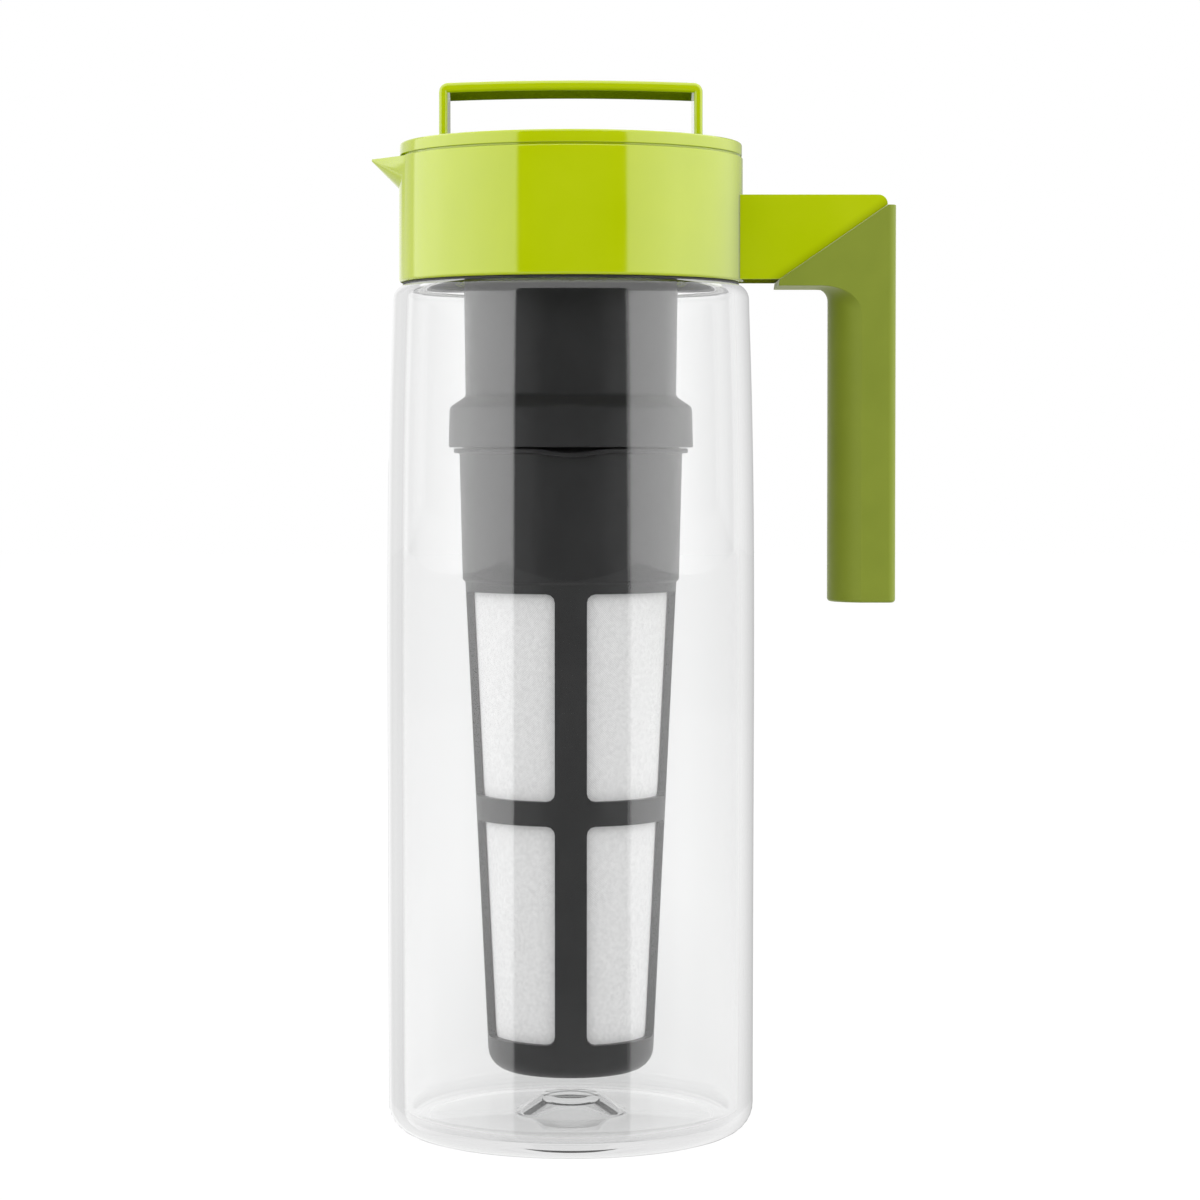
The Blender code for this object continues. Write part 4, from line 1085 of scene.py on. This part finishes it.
# The studio's floor is a wide sheet of white paper that keeps a soft shadow.
# What clear and glossy pieces show of it is set apart from what the camera sees straight.
# The camera stands a metre away at the height of the grip and looks slightly down.
FLOOR_HALF_SIZE = 6.0
FLOOR_PAPER = (0.12, 0.12, 0.12, 1.0)
FLOOR_WHITE = 0.91
FLOOR_SEEN_THROUGH = 0.645
FLOOR_BOUNCE = 0.55
FLOOR_REFLECTED = 0.55
FLOOR_SIDES = ((0.0, 0.72), (0.212, 0.72), (0.27, 0.8), (0.41, 0.9), (0.52, 0.73), (0.6, 0.5), (0.7, 0.31))
FLOOR_SIDE_LEVEL = 2.0
FLOOR_DEEP_LEVEL = 1.1
FLOOR_NEAR = 0.15
FLOOR_FAR = 0.6
FLOOR_INSIDE = 0.8
FLOOR_GAP = 0.1
FRONT_GAP = math.radians(37.4)
GAP_START_TURN = 0.0173
GAP_START = 0.12
CAMERA_PLACE = (0.0, -1.0198, 0.1985)
CAMERA_TILT = math.radians(88.426)
CAMERA_LENS = 103.73
CAMERA_SENSOR = 36.0
CAMERA_SHIFT = (0.0243, -0.04)


def by_turn(tree, share, levels):
    """A brightness that changes with the share of a half turn from the front."""
    ramp = tree.nodes.new("ShaderNodeValToRGB")
    while len(ramp.color_ramp.elements) < len(levels):
        ramp.color_ramp.elements.new(0.5)
    for element, (spot, level) in zip(ramp.color_ramp.elements, levels):
        element.position = spot
        element.color = (level, level, level, 1.0)
    tree.links.new(share, ramp.inputs["Fac"])
    return ramp.outputs["Color"]


def pick(tree, choice, no, yes):
    """A blend of two values by a choice from 0 to 1."""
    node = tree.nodes.new("ShaderNodeMix")
    for socket, value in (("Factor", choice), ("A", no), ("B", yes)):
        if isinstance(value, (int, float)):
            node.inputs[socket].default_value = value
        else:
            tree.links.new(value, node.inputs[socket])
    return node.outputs["Result"]


shape = bmesh.new()
bmesh.ops.create_grid(shape, x_segments=8, y_segments=8, size=FLOOR_HALF_SIZE)
floor = piece_of("floor", shape)
floor.visible_glossy = False
white_floor = bpy.data.materials.new("white_floor")
white_floor.use_nodes = True
tree = white_floor.node_tree
tree.nodes.remove(tree.nodes["Principled BSDF"])
axes, turn_from_front = round_from_front(tree, "Object")
squares = sums(tree, "ADD", sums(tree, "POWER", axes["X"], 2.0), sums(tree, "POWER", axes["Y"], 2.0))
away = sums(tree, "SQRT", squares)
gap_turn = sums(tree, "SUBTRACT", FRONT_GAP, sums(tree, "DIVIDE", GAP_START_TURN, away))
in_front = sums(tree, "LESS_THAN", turn_from_front, gap_turn)
in_gap = sums(tree, "MULTIPLY", in_front, sums(tree, "GREATER_THAN", away, GAP_START))
deep = at_least(tree, "Transmission", 3)
sides = by_turn(tree, sums(tree, "DIVIDE", turn_from_front, math.pi), FLOOR_SIDES)
mirrored = sums(tree, "MULTIPLY", sides, pick(tree, deep, FLOOR_SIDE_LEVEL, FLOOR_DEEP_LEVEL))
mirrored = pick(tree, ranged(tree, away, FLOOR_NEAR, FLOOR_FAR), FLOOR_REFLECTED, mirrored)
mirrored = pick(tree, in_gap, mirrored, FLOOR_GAP)
level = pick(tree, at_least(tree, "Transmission", 1), FLOOR_WHITE, FLOOR_SEEN_THROUGH)
level = pick(tree, at_least(tree, "Glossy", 1), level, mirrored)
level = pick(tree, at_least(tree, "Glossy", 2), level, FLOOR_INSIDE)
level = pick(tree, at_least(tree, "Diffuse", 1), level, FLOOR_BOUNCE)
paper = tree.nodes.new("ShaderNodeBsdfDiffuse")
paper.inputs["Color"].default_value = FLOOR_PAPER
glow = tree.nodes.new("ShaderNodeEmission")
tree.links.new(level, glow.inputs["Strength"])
both = tree.nodes.new("ShaderNodeAddShader")
tree.links.new(paper.outputs["BSDF"], both.inputs[0])
tree.links.new(glow.outputs["Emission"], both.inputs[1])
tree.links.new(both.outputs["Shader"], tree.nodes["Material Output"].inputs["Surface"])
floor.data.materials.append(white_floor)
camera = bpy.data.objects.new("camera", bpy.data.cameras.new("camera"))
bpy.context.scene.collection.objects.link(camera)
camera.location = CAMERA_PLACE
camera.rotation_euler = (CAMERA_TILT, 0.0, 0.0)
camera.data.lens = CAMERA_LENS
camera.data.sensor_width = CAMERA_SENSOR
camera.data.shift_x, camera.data.shift_y = CAMERA_SHIFT
bpy.context.scene.camera = camera


# The light is a soft tent of six lamps: one in front, two at the sides, two behind them and one above.
# They give the colours only. Clear and glossy pieces show the plain studio round the lamps instead,
# with its bright side walls, dark front and pale back.
LAMPS = (
    ("front_lamp", (0.0, -2.0, 0.9), 2.0, 8.3),
    ("left_lamp", (-1.35, -0.75, 0.5), 1.5, 3.8),
    ("right_lamp", (1.35, -0.75, 0.5), 1.5, 3.8),
    ("left_edge_lamp", (-1.45, 0.5, 0.45), 1.2, 5.9),
    ("right_edge_lamp", (1.45, 0.5, 0.45), 1.2, 5.9),
    ("top_lamp", (0.0, -0.2, 1.6), 1.2, 4.0),
)
LAMP_AIM = (0.0, 0.0, 0.16)
LEFT_WALL = (
    (0.0, 0.0),
    (0.194, 0.0),
    (0.204, 0.72),
    (0.27, 0.8),
    (0.41, 1.0),
    (0.56, 0.98),
    (0.62, 0.84),
    (0.69, 0.71),
    (0.708, 0.69),
    (0.728, 0.27),
    (0.775, 0.28),
    (0.8, 0.29),
    (0.845, 0.25),
    (0.9, 0.33),
    (0.955, 0.31),
)
RIGHT_WALL = (
    (0.0, 0.0),
    (0.203, 0.0),
    (0.212, 0.72),
    (0.27, 0.8),
    (0.41, 1.0),
    (0.58, 0.79),
    (0.68, 0.6),
    (0.731, 0.47),
    (0.78, 0.31),
    (0.815, 0.22),
    (0.847, 0.17),
    (0.89, 0.14),
    (0.955, 0.12),
)
THROUGH_WALL = ((0.0, 0.0), (0.203, 0.0), (0.212, 0.72), (0.27, 0.8), (0.41, 1.0), (0.58, 0.45), (0.7, 0.12))
WALL_LEVEL = 3.45
WALL_TOP = 0.5
WALL_FOOT = 0.2
TABLE_EDGE = 0.6
TABLE_LEVEL = 1.2
ROOF_LEVEL = 2.6
DEEP_WALL_LEVEL = 1.2
BACK_START = 0.725
BACK_LEVEL = 0.75
UNDER_BACK = 0.962
NECK_WALL_TOP = 0.24
NECK_LEVEL = 0.12
INSIDE_LEVEL = 0.8
SEEN_THROUGH = 0.735
FILL_LEVEL = 0.78
MOST_BOUNCES = 24
MOST_REFLECTIONS = 16
for name, place, size, power in LAMPS:
    lamp = bpy.data.objects.new(name, bpy.data.lights.new(name, "AREA"))
    bpy.context.scene.collection.objects.link(lamp)
    lamp.location = place
    lamp.rotation_euler = (Vector(LAMP_AIM) - Vector(place)).to_track_quat("-Z", "Y").to_euler()
    lamp.data.shape = "SQUARE"
    lamp.data.size = size
    lamp.data.energy = power
    lamp.visible_glossy = False
    lamp.visible_transmission = False
    lamp.visible_camera = False

world = bpy.data.worlds.new("studio")
bpy.context.scene.world = world
world.use_nodes = True
world.cycles.sampling_method = "NONE"
tree = world.node_tree
backdrop = tree.nodes["Background"]
backdrop.inputs["Color"].default_value = (1.0, 1.0, 1.0, 1.0)
axes, turn_from_front = round_from_front(tree, "Generated")
turn_share = sums(tree, "DIVIDE", turn_from_front, math.pi)
through = at_least(tree, "Transmission", 1)
deep = at_least(tree, "Transmission", 3)
behind = sums(tree, "GREATER_THAN", turn_share, BACK_START)
on_left = sums(tree, "LESS_THAN", axes["X"], 0.0)
up = axes["Z"]
straight_back = sums(tree, "GREATER_THAN", turn_share, UNDER_BACK)
under_back = sums(tree, "MULTIPLY", straight_back, sums(tree, "LESS_THAN", up, 0.0))
side_walls = pick(tree, on_left, by_turn(tree, turn_share, RIGHT_WALL), by_turn(tree, turn_share, LEFT_WALL))
side_walls = pick(tree, under_back, side_walls, 0.0)
both_walls = pick(tree, through, side_walls, by_turn(tree, turn_share, THROUGH_WALL))
wall_light = sums(tree, "MULTIPLY", both_walls, pick(tree, deep, WALL_LEVEL, DEEP_WALL_LEVEL))
back_light = sums(tree, "MULTIPLY", sums(tree, "MULTIPLY", behind, through), BACK_LEVEL)
wall_light = sums(tree, "MAXIMUM", wall_light, back_light)
drop = ranged(tree, up, -WALL_FOOT, -TABLE_EDGE)
below_wall = sums(tree, "MULTIPLY", drop, sums(tree, "SUBTRACT", 1.0, through))
above_wall = sums(tree, "GREATER_THAN", up, pick(tree, through, WALL_TOP, NECK_WALL_TOP))
level = pick(tree, below_wall, wall_light, TABLE_LEVEL)
level = pick(tree, above_wall, level, pick(tree, through, ROOF_LEVEL, NECK_LEVEL))
level = pick(tree, at_least(tree, "Glossy", 2), level, INSIDE_LEVEL)
straight = pick(tree, through, 1.0, pick(tree, above_wall, SEEN_THROUGH, NECK_LEVEL))
level = pick(tree, at_least(tree, "Glossy", 1), straight, level)
level = pick(tree, at_least(tree, "Diffuse", 1), level, FILL_LEVEL)
tree.links.new(level, backdrop.inputs["Strength"])

# A ray crosses many clear walls, so it may bounce more often than usual.
cycles = bpy.context.scene.cycles
cycles.max_bounces = MOST_BOUNCES
cycles.glossy_bounces = MOST_REFLECTIONS
cycles.transmission_bounces = MOST_BOUNCES
bpy.context.scene.view_settings.view_transform = "Standard"
